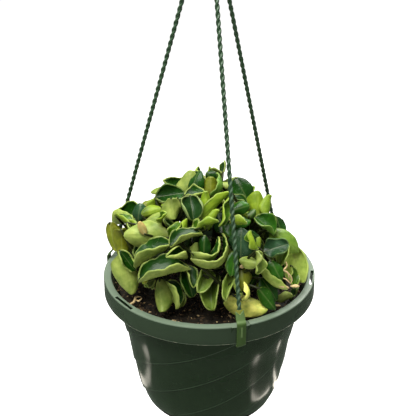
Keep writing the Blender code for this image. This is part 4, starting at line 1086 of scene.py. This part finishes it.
# %% Leaves that fill the mound
FORMS = {
    "cup": {"face": 180, "size": (25, 26), "fold": 10, "curl": (78, 78), "bend": -25},
    "boat": {"face": 55, "size": (30, 23), "fold": 25, "curl": (45, 50), "bend": 18},
    "ring": {"face": 84, "size": (42, 16), "fold": 6, "curl": (15, 20), "bend": -180},
    "hood": {"face": 5, "size": (25, 22), "fold": -8, "curl": (-45, -40), "bend": 25},
    "loop": {"face": 0, "size": (25, 34), "fold": 8, "curl": (84, 84), "lean": 42, "pinch": 0.5},
}
TONES_OF = {"cup": ("pale", "olive", "bright"), "boat": ("pale", "pale", "bright"),
            "ring": ("pale", "bright"),
            "hood": ("dark", "green", "blue"), "loop": ("pale", "bright")}
RINGS = ((-12, 16), (4, 17), (20, 16), (36, 14), (52, 11), (68, 8), (85, 2))
OUTLINE_LEFT, OUTLINE_RIGHT, OUTLINE_TOP = -0.080, 0.068, 0.088


def mound_direction(polar, azimuth):
    """The direction out from the mound's middle at those two angles, in radians."""
    level = math.cos(polar)
    return Vector((level * math.sin(azimuth), -level * math.cos(azimuth), math.sin(polar)))


def in_mound(unit, scale):
    """The point of the mound in a direction: on its surface at a scale of 1, inside at less."""
    return Vector(np.multiply(unit, MOUND)) * scale + Vector((0, 0, MOUND_HEIGHT))


def within_outline(place):
    """Whether a leaf there stays inside the plant's outline as it is seen from the front."""
    across, up = place.dot(RIGHT), place.dot(UP)
    left = OUTLINE_LEFT + 1.45 * max(0, up - 0.043)
    right = OUTLINE_RIGHT - 0.62 * max(0, up - 0.008)
    return left < across < right and up < OUTLINE_TOP


def filling_leaves(seed):
    """Leaves in rings of (height in degrees, number) on the mound, fewer under the front ones."""
    draw, choose_tone = random.Random(seed), random.Random(seed + 1)
    made = []
    for polar, count in RINGS:
        for k in range(count):
            azimuth = 360 / count * (k + draw.uniform(-0.25, 0.25)) + polar
            p, a = math.radians(polar + draw.uniform(-5, 5)), math.radians(azimuth)
            in_front = math.cos(a) > 0.1
            scale = draw.uniform(0.78, 0.86) if in_front and polar < 50 else draw.uniform(0.88, 0.96)
            unit = mound_direction(p, a)
            place = in_mound(unit, scale)
            while not within_outline(place) and place.xy.length > 0.03:
                place *= 0.96
            toward = Vector(np.divide(unit, MOUND)).normalized()
            up = Vector((0, 0, 1)) - toward * toward.z
            up = up.normalized() if up.length > 0.1 else Vector((0, 1, 0))
            kind = draw.choice(("cup", "cup", "boat", "boat", "ring", "hood", "loop"))
            form = dict(FORMS[kind])
            turn = -90 if kind == "loop" else draw.uniform(0, 360)
            grow = draw.uniform(0.85, 1.1) if in_front else draw.uniform(1.15, 1.4)
            form["size"] = tuple(side * grow for side in form["size"])
            form["face"] += draw.uniform(-15, 15)
            form["lean"] = form.get("lean", 0) + draw.uniform(-10, 10)
            if in_front and (k % 2 or polar < 10 and -50 < math.degrees(a) < 25):
                continue
            form["tone"] = choose_tone.choice(TONES_OF[kind])
            made.append(leaf(f"{kind}_{polar}_{k}", place, toward, up, turn + draw.uniform(-20, 20), **form))
    return made


YOUNG_TONES = ("bright", "bright", "pale", "green", "dark", "olive")
YOUNG_TOP = 0.069


def young_leaves(count, seed):
    """Small new leaves, tightly curled, that show in the gaps of the mound."""
    draw = random.Random(seed)
    large = [(one["place"], 0.40 * max(one["size"])) for one in front_leaves()]
    made = []
    for k in range(count):
        azimuth = draw.uniform(-70, 70) if k % 2 else draw.uniform(70, 290)
        p, a = math.radians(draw.uniform(-8, 88) if k % 3 else draw.uniform(45, 88)), math.radians(azimuth)
        unit = mound_direction(p, a)
        deep = k % 3 == 1
        scale = draw.uniform(0.52, 0.80) if deep else draw.uniform(0.84, 1.0)
        place = in_mound(unit, scale)
        while (not within_outline(place) or place.dot(UP) > YOUNG_TOP) and place.xy.length > 0.015:
            place *= 0.96
        kind = draw.choice(("cup", "boat", "boat", "ring", "loop", "hood"))
        grow = 1 if k % 2 else 1.4
        size = draw.uniform(13, 19) * grow, draw.uniform(9, 14) * grow
        form = dict(FORMS[kind], size=size, tone=draw.choice(YOUNG_TONES))
        if deep:
            form.update(size=(draw.uniform(20, 28), draw.uniform(15, 21)), tone="dark")
        form["face"] += draw.uniform(-30, 30)
        toward = Vector(np.divide(unit, MOUND)).normalized()
        if all((place - middle).length > reach for middle, reach in large):
            beside = toward.orthogonal().normalized()
            made.append(leaf(f"young_{k}", place, toward, beside, draw.uniform(0, 360), **form))
    return made


def peeping_leaves():
    """Leaves of which only an edge shows, from behind a large one."""
    return [front_leaf("roll_lip", (-76, 7), -4, -49, 12, (28, 17), 12, (55, 55), taper=0.5),
            front_leaf("slope_lip", (71, 12), 2, 60, 20, (22, 15), 14, (45, 45), tone="light"),
            front_leaf("cup_lip", (80, -8), 3, -80, 30, (20, 13), 16, (50, 40), tone="bright")]


def ruffled(leaves, seed):
    """Small differences between the leaves: waved margins, a turned tip, a light twist."""
    draw = random.Random(seed)
    for one in leaves:
        one["wave"] = one["wave"] or draw.uniform(0.6, 1.5) / 1000
        one["waves"] = draw.uniform(0.9, 1.7)
        one["phase"] = draw.uniform(0, 2 * math.pi)
        one["hook"] = one["hook"] or draw.uniform(-25, 35)
        one["tuck"] = draw.uniform(-10, 25)
        one["twist"] = one["twist"] or draw.uniform(-18, 18)
        one["flare"] = draw.uniform(-0.25, 0.25)
        one["roll"] = math.radians(30 + 55 * (one["phase"] % 1) if one["roll"] is None else one["roll"])
    return leaves


print(sum(count for _, count in RINGS), "places in", len(RINGS), "rings, fewer of them used in front")

# %% [markdown]
# ## From angles to a surface
#
# A blade's middle surface is worked out in two steps. The midrib is a curve that bends along the leaf, and
# across it each half turns from the fold at the midrib to the curl at its margin.

# %% The blade's middle surface
SPINE_STEPS = 48


def half_width(u, taper):
    """Of a blade along its length: 0 at both ends and 1 at the widest."""
    return np.sin(np.pi * np.clip(u, 0, 1) ** 0.9) ** taper


def spine(one, u):
    """Along the midrib at the stations u: places from the blade's middle, and its directions left and up."""
    fine = np.linspace(0, 1, SPINE_STEPS + 1)
    tip, foot = np.clip(fine - 0.5, 0, 1), np.clip(0.5 - fine, 0, 1)
    pitch = np.radians(one["bend"] * (fine - 0.5) + one["hook"] * 4 * tip**2 - one["tuck"] * 4 * foot**2)
    ahead = np.stack([np.cos(pitch), 0 * pitch, -np.sin(pitch)], axis=-1)
    steps = (ahead[1:] + ahead[:-1]) / 2 * one["size"][0] / SPINE_STEPS
    place = np.concatenate([np.zeros((1, 3)), np.cumsum(steps, axis=0)])
    place -= place[SPINE_STEPS // 2]
    at = np.stack([np.interp(u, fine, place[:, k]) for k in range(3)], axis=-1)
    pitch = np.interp(u, fine, pitch)[..., None]
    roll = np.radians(one["twist"] * (u - 0.5))[..., None]
    left = np.array([0, 1, 0])
    top = np.sin(pitch) * np.array([1, 0, 0]) + np.cos(pitch) * np.array([0, 0, 1])
    return at, left * np.cos(roll) + top * np.sin(roll), top * np.cos(roll) - left * np.sin(roll)


def across_half(fold, curl, pinch, roll, t):
    """Across half a blade, from the midrib to the margin: how far out and how far up at the stations t."""
    fine = np.linspace(0, 1, 25)
    turn = fold + curl * fine**pinch + roll * np.clip(4 * fine - 3, 0, 1)
    out = np.concatenate([[0], np.cumsum(np.cos(turn[1:]) + np.cos(turn[:-1]))]) / 48
    rise = np.concatenate([[0], np.cumsum(np.sin(turn[1:]) + np.sin(turn[:-1]))]) / 48
    return np.interp(t, fine, out), np.interp(t, fine, rise)


def blade_points(one, u, v, finish=0):
    """Points of the blade's middle surface for a grid of stations: u along it, v from -1 to 1 across it.

    The finish, from 0 to 1, adds what only the fine leaves have: rolled and ruffled margins.
    """
    t = np.abs(v)
    at, left, top = spine(one, 0.5 + (u - 0.5) * (1 - finish * 0.12 * t**2))
    out, rise = np.zeros_like(u), np.zeros_like(u)
    for i in range(u.shape[0]):
        opened = 1 + one["flare"] * (2 * u[i, 0] - 1)
        for side, curl in ((1, one["curl"][0]), (-1, one["curl"][1])):
            half = v[i] * side > 0
            fold = math.radians(one["fold"])
            uneven = 1 + 0.7 * math.sin(7 * u[i, 0] + one["phase"] * 3 + side)
            fade = math.sqrt(abs(math.sin(math.pi * u[i, 0])))
            roll = finish * math.copysign(1, curl) * one["roll"] * uneven * fade
            y, z = across_half(fold, math.radians(curl) * opened, one["pinch"], roll, t[i][half])
            out[i][half], rise[i][half] = side * y, z
    width = half_width(u, one["taper"])
    ripple = np.sin(2 * np.pi * one["waves"] * u + one["phase"] + 1.7 * (v > 0))
    out = out * width * one["size"][1] / 2
    rise = rise * width * one["size"][1] / 2 + one["wave"] * t**2 * ripple * width
    ruffle = np.sin(one["size"][0] * 650 * u + 5 * one["phase"] + 2 * np.sign(v))
    rise = rise + finish * 0.0005 * t**3 * ruffle * width
    return at + out[..., None] * left + rise[..., None] * top


def axes_of(one):
    """The blade's own axes in the plant: along the midrib, to its left, and out of its upper side."""
    turn, lean, face = (math.radians(one[key]) for key in ("turn", "lean", "face"))
    right = one["up"].cross(one["toward"]).normalized()
    flat = right * math.cos(turn) + one["up"] * math.sin(turn)
    side = one["up"] * math.cos(turn) - right * math.sin(turn)
    along = flat * math.cos(lean) + one["toward"] * math.sin(lean)
    front = one["toward"] * math.cos(lean) - flat * math.sin(lean)
    upper = front * math.cos(face) + side * math.sin(face)
    return np.array([along, upper.cross(along), upper])


def in_plant(one, points):
    """Points of the blade's own axes as points of the plant."""
    return np.array(one["place"]) + points @ axes_of(one)


shares = np.linspace(0, 1, 101)
print("a blade is widest at", round(shares[np.argmax(half_width(shares, 0.5))], 2), "of its length")

# %% [markdown]
# ## Finding a clear place for each leaf
#
# Leaves must not pass through one another. Each is tried first where it is wanted, then in places moved and
# turned a little further at each try, until a coarse copy of it crosses nothing, or only a few faces of its
# own stem's leaves. The same search on the same coarse blades placed the leaves of the solids, so the fine
# leaves come out where the solids are. The young leaves come after them and move none of them.

# %% Coarse blades and stalks
STEM_RADIUS, STALK_RADIUS = 0.0024, 0.0016
BLADE, CLEAR = 0.0013, 0.0009
HOLE_DEPTH = 0.014
OUTER_STEMS = (-40, 25, 74, 124, 174, 224, 272)
ROUGH_SIDES = 32
SMALL_LEAF, LARGE_LEAF, FAR_BEND = 0.0225, 0.032, 120


def blade_grid(one):
    """Faces along and across a coarse blade: more where its midrib bends far, fewer where it is small."""
    if "front" not in one or one["size"][0] < SMALL_LEAF:
        return 3, 3
    if abs(one["bend"]) > FAR_BEND:
        return 6, 4
    return (4, 4) if one["size"][0] > LARGE_LEAF else (3, 4)


def stations(evenly):
    """Places of the rows along a coarse blade, from their even spread over -1 to 1."""
    return 0.5025 + 0.4825 * evenly * (1.25 - 0.25 * evenly**2)


def coarse_blade(one, thickness):
    """The blade as a closed bmesh with few faces."""
    rows, columns = blade_grid(one)
    bm = bmesh.new()
    bmesh.ops.create_grid(bm, x_segments=rows, y_segments=columns, size=1)
    flat = np.array([v.co for v in bm.verts])
    order = np.lexsort((flat[:, 1], flat[:, 0]))
    shape = (rows + 1, columns + 1)
    u = stations(flat[order, 0].reshape(shape))
    points = in_plant(one, blade_points(one, u, flat[order, 1].reshape(shape)).reshape(-1, 3))
    bm.verts.ensure_lookup_table()
    for index, point in zip(order, points):
        bm.verts[index].co = point
    bmesh.ops.triangulate(bm, faces=bm.faces, quad_method="FIXED")
    bm.normal_update()
    for vert in bm.verts:
        vert.co -= vert.normal * thickness / 2
    bmesh.ops.solidify(bm, geom=bm.faces[:], thickness=-thickness)
    bmesh.ops.triangulate(bm, faces=bm.faces)
    bmesh.ops.recalc_face_normals(bm, faces=bm.faces)
    return bm


def foot_of(one):
    """The middle of the blade's end edge, and a point a little way into the blade from there."""
    rows, columns = blade_grid(one)
    beside = 1 / columns if columns % 2 else 0
    u = stations(np.array([[-1.0, -1.0], [-1 + 2 / rows, -1 + 2 / rows]]))
    points = in_plant(one, blade_points(one, u, np.array([[-beside, beside]] * 2)))
    foot, further = Vector(points[0].mean(axis=0)), Vector(points[1].mean(axis=0))
    return foot, foot.lerp(further, 0.35)


def rod(points, radii, sides, caps):
    """Straight rods along points, as a bmesh for the crossing test."""
    bm = bmesh.new()
    for a, b in zip(points, points[1:]):
        made = bmesh.ops.create_cone(bm, cap_ends=caps, segments=sides, radius1=radii[0], radius2=radii[1],
                                     depth=(b - a).length)
        bmesh.ops.transform(bm, matrix=aimed((a + b) / 2, b - a), verts=made["verts"])
    return bm


def coarse_ring(profile):
    """A surface turned round the pot's axis, for the crossing test."""
    bm = bmesh.new()
    points = [bm.verts.new((radius, 0, height)) for radius, height in profile]
    edges = [bm.edges.new(pair) for pair in zip(points, points[1:])]
    bmesh.ops.spin(bm, geom=points + edges, axis=(0, 0, 1), cent=(0, 0, 0), angle=math.tau, steps=ROUGH_SIDES)
    return bm


class Obstacle:
    """A placed surface, for testing whether the next one would cross it."""

    def __init__(self, node_name, kind, bm):
        self.node, self.kind = node_name, kind
        self.tree = BVHTree.FromBMesh(bm)
        corners = np.array([v.co for v in bm.verts])
        self.low, self.high = corners.min(axis=0), corners.max(axis=0)
        bm.free()

    def crossings(self, other):
        if (self.low > other.high).any() or (other.low > self.high).any():
            return 0
        return len(self.tree.overlap(other.tree))


print("blades are tested", round(1000 * (BLADE + CLEAR), 1), "mm thick, to keep them apart")

# %% Stems and what the leaves keep clear of
def stem_path(azimuth, radius, bends, count=6):
    """From the hole in the soil up through (azimuth step, radius, height) bends."""
    top = soil_top(radius)
    foot = on_ring(azimuth, radius, top - HOLE_DEPTH + 2 * GAP)
    above = on_ring(azimuth, radius, top + 0.002)
    return [foot] + smooth_path([above] + [on_ring(azimuth + a, r, h) for a, r, h in bends], count)


def stem_paths():
    """Name and path of each stem: one in the middle, four round it and others near the rim."""
    made = [("stem_middle", stem_path(0, 0.004, ((30, 0.006, 0.020), (60, 0.008, 0.062))))]
    for k in range(4):
        bends = ((4, 0.028, 0.015), (8, 0.036, 0.045), (14, 0.050, 0.054))
        made.append((f"stem_inner_{k + 1}", stem_path(32 + 90 * k, 0.024, bends)))
    for k, azimuth in enumerate(OUTER_STEMS):
        bends = ((-3, 0.054, 0.008), (-7, 0.062, 0.024), (-14, 0.076, 0.024))
        made.append((f"stem_outer_{k + 1}", stem_path(azimuth, 0.050, bends)))
    return made


def surroundings(paths):
    """What the leaves keep clear of: stems, soil, the pot's rim and the cords."""
    around = STEM_RADIUS + GAP
    made = [Obstacle(name, "stem", rod(path, (around, around), 8, False)) for name, path in paths]
    middle, outside = RIM_RADIUS - 0.004, RIM_RADIUS + 0.0006
    rim = ((body_radius(BODY_START) - WALL - 0.0006, -BODY_START), (FLANGE_INNER - 0.0024, -0.0028),
           (FLANGE_INNER - 0.0006, 0.0008), (outside, 0.0008), (outside, -0.03), (middle, -0.03), (middle, 0))
    made.append(Obstacle("pot", "pot", coarse_ring(rim)))
    mix = coarse_ring([(radius, soil_top(radius) + 0.001) for radius in (0.001, 0.05, 0.095)])
    made.append(Obstacle("soil", "soil", mix))
    for k in range(3):
        low, high = on_cord(k, 0.013), on_cord(k, 0.3)
        foot = on_ring(FRONT_CORD + 120 * k, RIM_RADIUS, 0.001)
        beside = CORD_RADIUS + 0.0008
        made.append(Obstacle("strand", "strand", rod([foot, low], (0.0052, 0.0052), 8, False)))
        made.append(Obstacle("strand", "strand", rod([low, high], (beside, beside), 8, False)))
    return made


STEM_PATHS = stem_paths()
print(len(STEM_PATHS), "stems, and", len(surroundings(STEM_PATHS)), "surfaces to keep clear of")

# %% Search for clear places
LONGEST_STALK, MOST_STARTS = 0.045, 24
PUSH_IN, PUSH_OUT, DRIFT, MOST_TURN = -0.012, 0.008, 0.005, 25


def reach_stem(one, paths, obstacles):
    """The stem that the stalk reaches by the shortest clear way, its start there and the stalk, or None."""
    foot, inside = foot_of(one)
    choices = []
    for name, path in paths:
        for a, b in zip(path[2:], path[3:]):
            choices += [(name, a.lerp(b, f)) for f in (0.0, 0.5)]
        choices.append((name, path[-1]))
    choices.sort(key=lambda choice: (choice[1] - foot).length)
    for name, start in choices[:MOST_STARTS]:
        if (start - foot).length > LONGEST_STALK:
            break
        stalk = Obstacle(name, "stalk", rod([start, inside], (STALK_RADIUS + GAP, BLADE / 2 + GAP), 3, True))
        if not any(stalk.crossings(other) for other in obstacles if other.node != name):
            return name, start, stalk
    return None


def nudged(one, share, draw):
    """The leaf a little moved and turned; share grows from 0 to 1 over the tries."""
    moved = dict(one)
    push = TOWARD if "front" in one else one["toward"]
    drift = Vector([draw.uniform(-1, 1) for _ in range(3)]) * DRIFT
    moved["place"] = one["place"] + (push * draw.uniform(PUSH_IN, PUSH_OUT) + drift) * share
    for key in ("turn", "lean", "face"):
        moved[key] = one[key] + draw.uniform(-MOST_TURN, MOST_TURN) * share
    scale = 1 - 0.25 * max(0, share - 0.4)
    moved["size"] = (one["size"][0] * scale, one["size"][1] * scale)
    return moved


def settled(leaves, paths, obstacles, seed, tries, most_crossings):
    """The leaves as near as they can lie to where they are wanted, clear of the other stems' leaves."""
    draw = random.Random(seed)
    made = []
    for wanted in leaves:
        best = None
        for k in range(tries):
            one = nudged(wanted, k / tries, draw) if k else dict(wanted)
            blade = Obstacle(None, "blade", coarse_blade(one, BLADE + CLEAR))
            hits = [(other, blade.crossings(other)) for other in obstacles]
            hits = [(other, count) for other, count in hits if count]
            nodes = {other.node for other, _ in hits}
            count = sum(count for _, count in hits)
            if len(nodes) > 1 or any(other.kind not in ("blade", "stalk") for other, _ in hits):
                continue
            if count > most_crossings or (best and best[0] <= count):
                continue
            found = reach_stem(one, [path for path in paths if not nodes or path[0] in nodes], obstacles)
            if found:
                best = (count, one, blade, found)
            if found and not hits:
                break
        if best:
            _, one, blade, (name, start, stalk) = best
            blade.node = name
            one["stem"], one["start"] = name, start
            obstacles += [blade, stalk]
            made.append(one)
    return made


def grown_leaves(paths):
    """Every leaf in its clear place, the front ones first."""
    front = ruffled(front_leaves(), seed=3)
    for one in front:
        one["front"] = True
    obstacles = surroundings(paths)
    made = settled(front, paths, obstacles, seed=7, tries=90, most_crossings=12)
    filling, peeping = ruffled(filling_leaves(seed=11), seed=4), ruffled(peeping_leaves(), seed=5)
    made += settled(filling, paths, obstacles, seed=8, tries=60, most_crossings=6)
    made += settled(peeping, paths, obstacles, seed=10, tries=60, most_crossings=4)
    young = ruffled(young_leaves(count=420, seed=21), seed=6)
    return made + settled(young, paths, obstacles, seed=9, tries=14, most_crossings=2)


LEAVES = grown_leaves(STEM_PATHS)
print(len(LEAVES), "leaves on", len(STEM_PATHS), "stems")

# %% [markdown]
# ## Leaf surface
#
# The upper side is dark, glossy and freckled, and the lower one is pale and waxy. Both have a pale band along
# the margin and a midrib. Each leaf brings its own two colours as attributes. A third attribute tells where
# on the blade a point lies: how far along, how far across and how far from the margin. A fourth tells which
# side it is on and how pale the margin gets.

# %% Material of the leaves
LOOKS = {  # lower side, upper side, and how far the margin is paler
    "pale": ((146, 164, 84), (36, 74, 22), 0.55), "inside": ((150, 168, 90), (104, 128, 56), 0.55),
    "bright": ((132, 160, 46), (72, 110, 28), 0.6), "light": ((150, 172, 80), (116, 148, 60), 0.5),
    "olive": ((122, 130, 40), (62, 76, 22), 0.3), "yellow": ((250, 252, 134), (214, 226, 108), 0.4),
    "blue": ((74, 108, 66), (46, 76, 52), 0.15), "green": ((92, 132, 50), (48, 92, 28), 0.4),
    "dark": ((62, 94, 36), (32, 70, 22), 0.35), "tan": ((176, 156, 98), (140, 124, 72), 0.5),
    "fresh": ((160, 182, 92), (168, 190, 96), 0.5),
    "grey": ((120, 140, 90), (38, 68, 34), 0.3)}
STALK_TONE = (44, 50, 24)


def leaf_material():
    made, tree, shader = new_material("hindu_rope_leaf", Specular_IOR_Level=0.22, Coat_Weight=0.06,
                                      Coat_Roughness=0.15)
    place = node(tree, "Attribute", attribute_name="place").outputs["Vector"]
    where = node(tree, "SeparateXYZ", ((0, place),)).outputs
    kind = node(tree, "Attribute", attribute_name="kind").outputs["Vector"]
    sort = node(tree, "SeparateXYZ", ((0, kind),)).outputs
    under = node(tree, "Attribute", attribute_name="under").outputs["Color"]
    upper = node(tree, "Attribute", attribute_name="upper").outputs["Color"]
    base = mixed(tree, sort["X"], under, upper)
    drift = use_group(tree, TONE, Size=0.010, Contrast=2.4)["Factor"]
    light = mixed(tree, drift, (0.52, 0.62, 0.40), (1.32, 1.24, 1.20))
    toned = mixed(tree, 1.0, base, light, "MULTIPLY")
    blotch = use_group(tree, TONE, Size=0.0032, Contrast=2.2)["Factor"]
    toned = mixed(tree, 1.0, toned, mixed(tree, blotch, (0.84, 0.88, 0.80), (1.14, 1.10, 1.14)), "MULTIPLY")
    # painted shade: each blade darkens towards its base, which lies deep among the other leaves
    painted_base_shade = ranged(tree, where["X"], 0.0, 0.012, 0.55, 1.0)
    painted_base_shade_rgb = node(tree, "CombineXYZ", ((0, painted_base_shade), (1, painted_base_shade), (2, painted_base_shade))).outputs[0]
    toned = mixed(tree, 1.0, toned, painted_base_shade_rgb, "MULTIPLY")
    freckles = use_group(tree, SPECKS, Spacing=0.0020, Radius=0.20)["Mask"]
    dots = maths(tree, "MULTIPLY", freckles, ranged(tree, sort["X"], 0, 1, 0.05, 0.16))
    dotted = mixed(tree, dots, toned, colour(190, 205, 150))
    wander = maths(tree, "MULTIPLY_ADD", drift, 0.0014, -0.0007)
    from_margin = maths(tree, "ADD", where["Z"], wander)
    broken = maths(tree, "MULTIPLY", ranged(tree, blotch, 0.2, 0.7, 0.45, 1.0), sort["Z"])
    band = maths(tree, "MULTIPLY", ranged(tree, from_margin, 0.0001, 0.0013, 1.0, 0.0), broken)
    edged = mixed(tree, band, dotted, colour(176, 194, 104))
    beside = maths(tree, "ABSOLUTE", where["Y"])
    rib = ranged(tree, beside, 0.0001, 0.0009, 0.07, 0.0)
    tree.links.new(mixed(tree, rib, edged, colour(205, 215, 140)), shader.inputs["Base Color"])
    groove = ranged(tree, beside, 0.0, 0.0014, -0.00022, 0.0)
    rippled = (("Vector", place), ("Scale", 300.0), ("Detail", 4.0), ("Roughness", 0.65))
    swell = node(tree, "TexNoise", rippled).outputs["Fac"]
    pores = node(tree, "TexNoise", (("Vector", place), ("Scale", 1100.0), ("Detail", 2.0))).outputs["Fac"]
    dimpled = maths(tree, "MULTIPLY_ADD", pores, 0.00012, groove)
    height = maths(tree, "MULTIPLY_ADD", swell, 0.0006, dimpled)
    bump = node(tree, "Bump", (("Height", height), ("Distance", 1.0), ("Strength", 0.8)))
    tree.links.new(bump.outputs[0], shader.inputs["Normal"])
    tree.links.new(ranged(tree, sort["X"], 0, 1, 0.45, 0.25), shader.inputs["Roughness"])
    return made


LEAF_MATERIAL = leaf_material()
print("the leaves come in", len(LOOKS), "pairs of colours")

# %% [markdown]
# ## Fine leaves on their stems
#
# A fine leaf is one grid of faces wrapped round the blade: across the upper side, over the margin and back
# across the lower side. It is thickest at the midrib and rounds off towards the margin. Daylight hardly
# reaches the inside of the mound, so leaves that lie deeper are darker. All the leaves of a stem, its stalks
# and the stem itself are one piece, because that is how they grow.

# %% Wrap a skin round a blade
MARGIN_ROUNDING = 0.0010
INSIDE_LIGHT, LIT_FROM, LIT_OVER = 0.35, 0.66, 0.28
WAVIER = {"top_left_wave": 3.5, "wavy_right": 3.5, "right_slope": 4.0, "right_cup": 2.0, "ruffled_blue": 4.0,
          "ruffled_low": 3.5, "broad_pale": 2.4, "top_dark": 2.5}


def finer(one):
    """The leaf as its fine blade is made: a little more curled, waved and twisted than the coarse one."""
    more = dict(one)
    more["curl"] = tuple(turn + math.copysign(22, turn) * (abs(turn) < 36) for turn in one["curl"])
    more["twist"] = one["twist"] + math.copysign(14, one["twist"])
    more["wave"] = WAVIER.get(one["name"], 1000 * one["wave"] * 1.5) / 1000
    more["hook"] = one["hook"] + 10
    more["taper"] = min(0.5, one["taper"])
    return more


def fine_blade(bm, layers, one, rows, columns, thickness, draw):
    """Adds the closed skin of one leaf to the bmesh; own tells the leaves apart, and no node reads it."""
    made = bmesh.ops.create_grid(bm, x_segments=rows, y_segments=2 * columns, size=1)["verts"]
    steps = np.rint((np.array([vert.co[:2] for vert in made]) + 1) / 2 * (rows, 2 * columns)).astype(int)
    one = finer(one)
    shape = (rows + 1, 2 * columns + 1)
    u = np.broadcast_to(0.5 - 0.5 * np.cos(np.pi * np.arange(shape[0]) / rows)[:, None], shape)
    round_trip = np.broadcast_to(np.pi * np.arange(shape[1]) / columns, shape)
    v = -np.cos(round_trip)
    side = np.sign(np.round(np.sin(round_trip), 6))
    middle = blade_points(one, u, v, 1)
    inner_u, inner_v, e = np.clip(u, 0.03, 0.97), np.clip(v, -0.96, 0.96), 0.012
    along = blade_points(one, inner_u + e, inner_v, 1) - blade_points(one, inner_u - e, inner_v, 1)
    across = blade_points(one, inner_u, inner_v + e, 1) - blade_points(one, inner_u, inner_v - e, 1)
    normal = np.cross(along, across)
    normal /= np.linalg.norm(normal, axis=-1, keepdims=True)
    half = half_width(u, one["taper"]) * one["size"][1] / 2
    margin = np.minimum((1 - np.abs(v)) * half, np.minimum(u, 1 - u) * one["size"][0])
    rounding = np.sqrt(1 - (1 - np.minimum(1, margin / MARGIN_ROUNDING)) ** 2)
    thick = thickness / 2 * rounding * (0.85 + 0.3 * (1 - v**2))
    skin = in_plant(one, (middle + normal * (side * thick)[..., None]).reshape(-1, 3)).reshape(*shape, 3)
    swell = in_plant(one, middle.reshape(-1, 3)).reshape(*shape, 3)
    turned = (normal.reshape(-1, 3) @ axes_of(one)).reshape(*shape, 3)
    place, kind, under, upper = layers
    own = draw.random()
    shade = draw.uniform(0.88, 1.10)
    lower_look, upper_look, rim = LOOKS[one["tone"]]
    under_tone = [shade * part for part in colour(*lower_look)]
    upper_tone = [shade * part for part in colour(*upper_look)]
    for vert, (r, c) in zip(made, steps):
        deep = Vector(np.divide(swell[r, c] - (0, 0, MOUND_HEIGHT), MOUND)).length
        lit = INSIDE_LIGHT + (1 - INSIDE_LIGHT) * min(1, max(0, (deep - LIT_FROM) / LIT_OVER))
        uneven = 0.00045 * noise.noise(Vector(swell[r, c]) * 120) * min(1, 500 * margin[r, c] + 0.4)
        vert.co = Vector(skin[r, c]) + Vector(turned[r, c]) * uneven
        vert[place] = (u[r, c] * one["size"][0], v[r, c] * half[r, c], margin[r, c])
        vert[kind] = (0.5 + 0.5 * side[r, c], own, rim)
        vert[under] = (*(lit * part for part in under_tone), 1)
        vert[upper] = (*(lit * part for part in upper_tone), 1)
    bmesh.ops.remove_doubles(bm, verts=made, dist=0.000003)


def plain_tube(bm, layers, points, radii, sides, tone):
    """Adds a stalk or a stem, with the attributes that the leaf material reads."""
    place, kind, under, upper = layers
    for vert in add_tube(bm, points, radii, sides):
        vert[place], vert[kind] = (vert.co.z, 0.01, 0.01), (0, 0.5, 0)
        vert[under] = vert[upper] = (*tone, 1)


print("the margin rounds off over", round(1000 * MARGIN_ROUNDING, 1), "mm")

# %% Grow the stems
FRONT_GRID, YOUNG_GRID, OTHER_GRID = (30, 18), (14, 10), (20, 13)
THINNEST, THICKEST = 0.0015, 0.0018
STEM_RINGS, STEM_SIDES, STALK_RINGS, STALK_SIDES = 40, 14, 18, 8


def leafy_stem(name, path, leaves, draw):
    bm = bmesh.new()
    layers = [bm.verts.layers.float_vector.new("place"), bm.verts.layers.float_vector.new("kind"),
              bm.verts.layers.float_color.new("under"), bm.verts.layers.float_color.new("upper")]
    tone = colour(*STALK_TONE)
    points = smooth_path(path, STEM_RINGS)
    radii = [STEM_RADIUS * (1 + 0.10 * noise.noise(point * 150)) for point in points]
    plain_tube(bm, layers, points, radii[:-1] + [STEM_RADIUS * 0.6], STEM_SIDES, tone)
    for one in leaves:
        grid = FRONT_GRID if "front" in one else YOUNG_GRID if "young" in one["name"] else OTHER_GRID
        fine_blade(bm, layers, one, *grid, draw.uniform(THINNEST, THICKEST), draw)
        start = one["start"]
        near_base = np.array([[0.02, 0.02], [0.10, 0.10]])
        entry = in_plant(one, blade_points(finer(one), near_base, np.zeros((2, 2))))
        foot, further = Vector(entry[0, 0]), Vector(entry[1, 0])
        bend = foot.lerp(start, 0.3) + (foot - further).normalized() * 0.0012
        reach = smooth_path([start, start.lerp(bend, 0.55), bend, foot, further], STALK_RINGS)
        slim = [STALK_RADIUS * (1 - 0.5 * share) for share in np.linspace(0, 1, STALK_RINGS)]
        plain_tube(bm, layers, reach, slim, STALK_SIDES, tone)
    bmesh.ops.recalc_face_normals(bm, faces=bm.faces)
    return bm


for stem_name, path in STEM_PATHS:
    leaves = [one for one in LEAVES if one["stem"] == stem_name]
    draw = random.Random(stem_name)
    whole = leafy_stem(stem_name, path, leaves, draw)
    finish_piece("leafy_" + stem_name, whole, LEAF_MATERIAL, "leaves", stem_name)
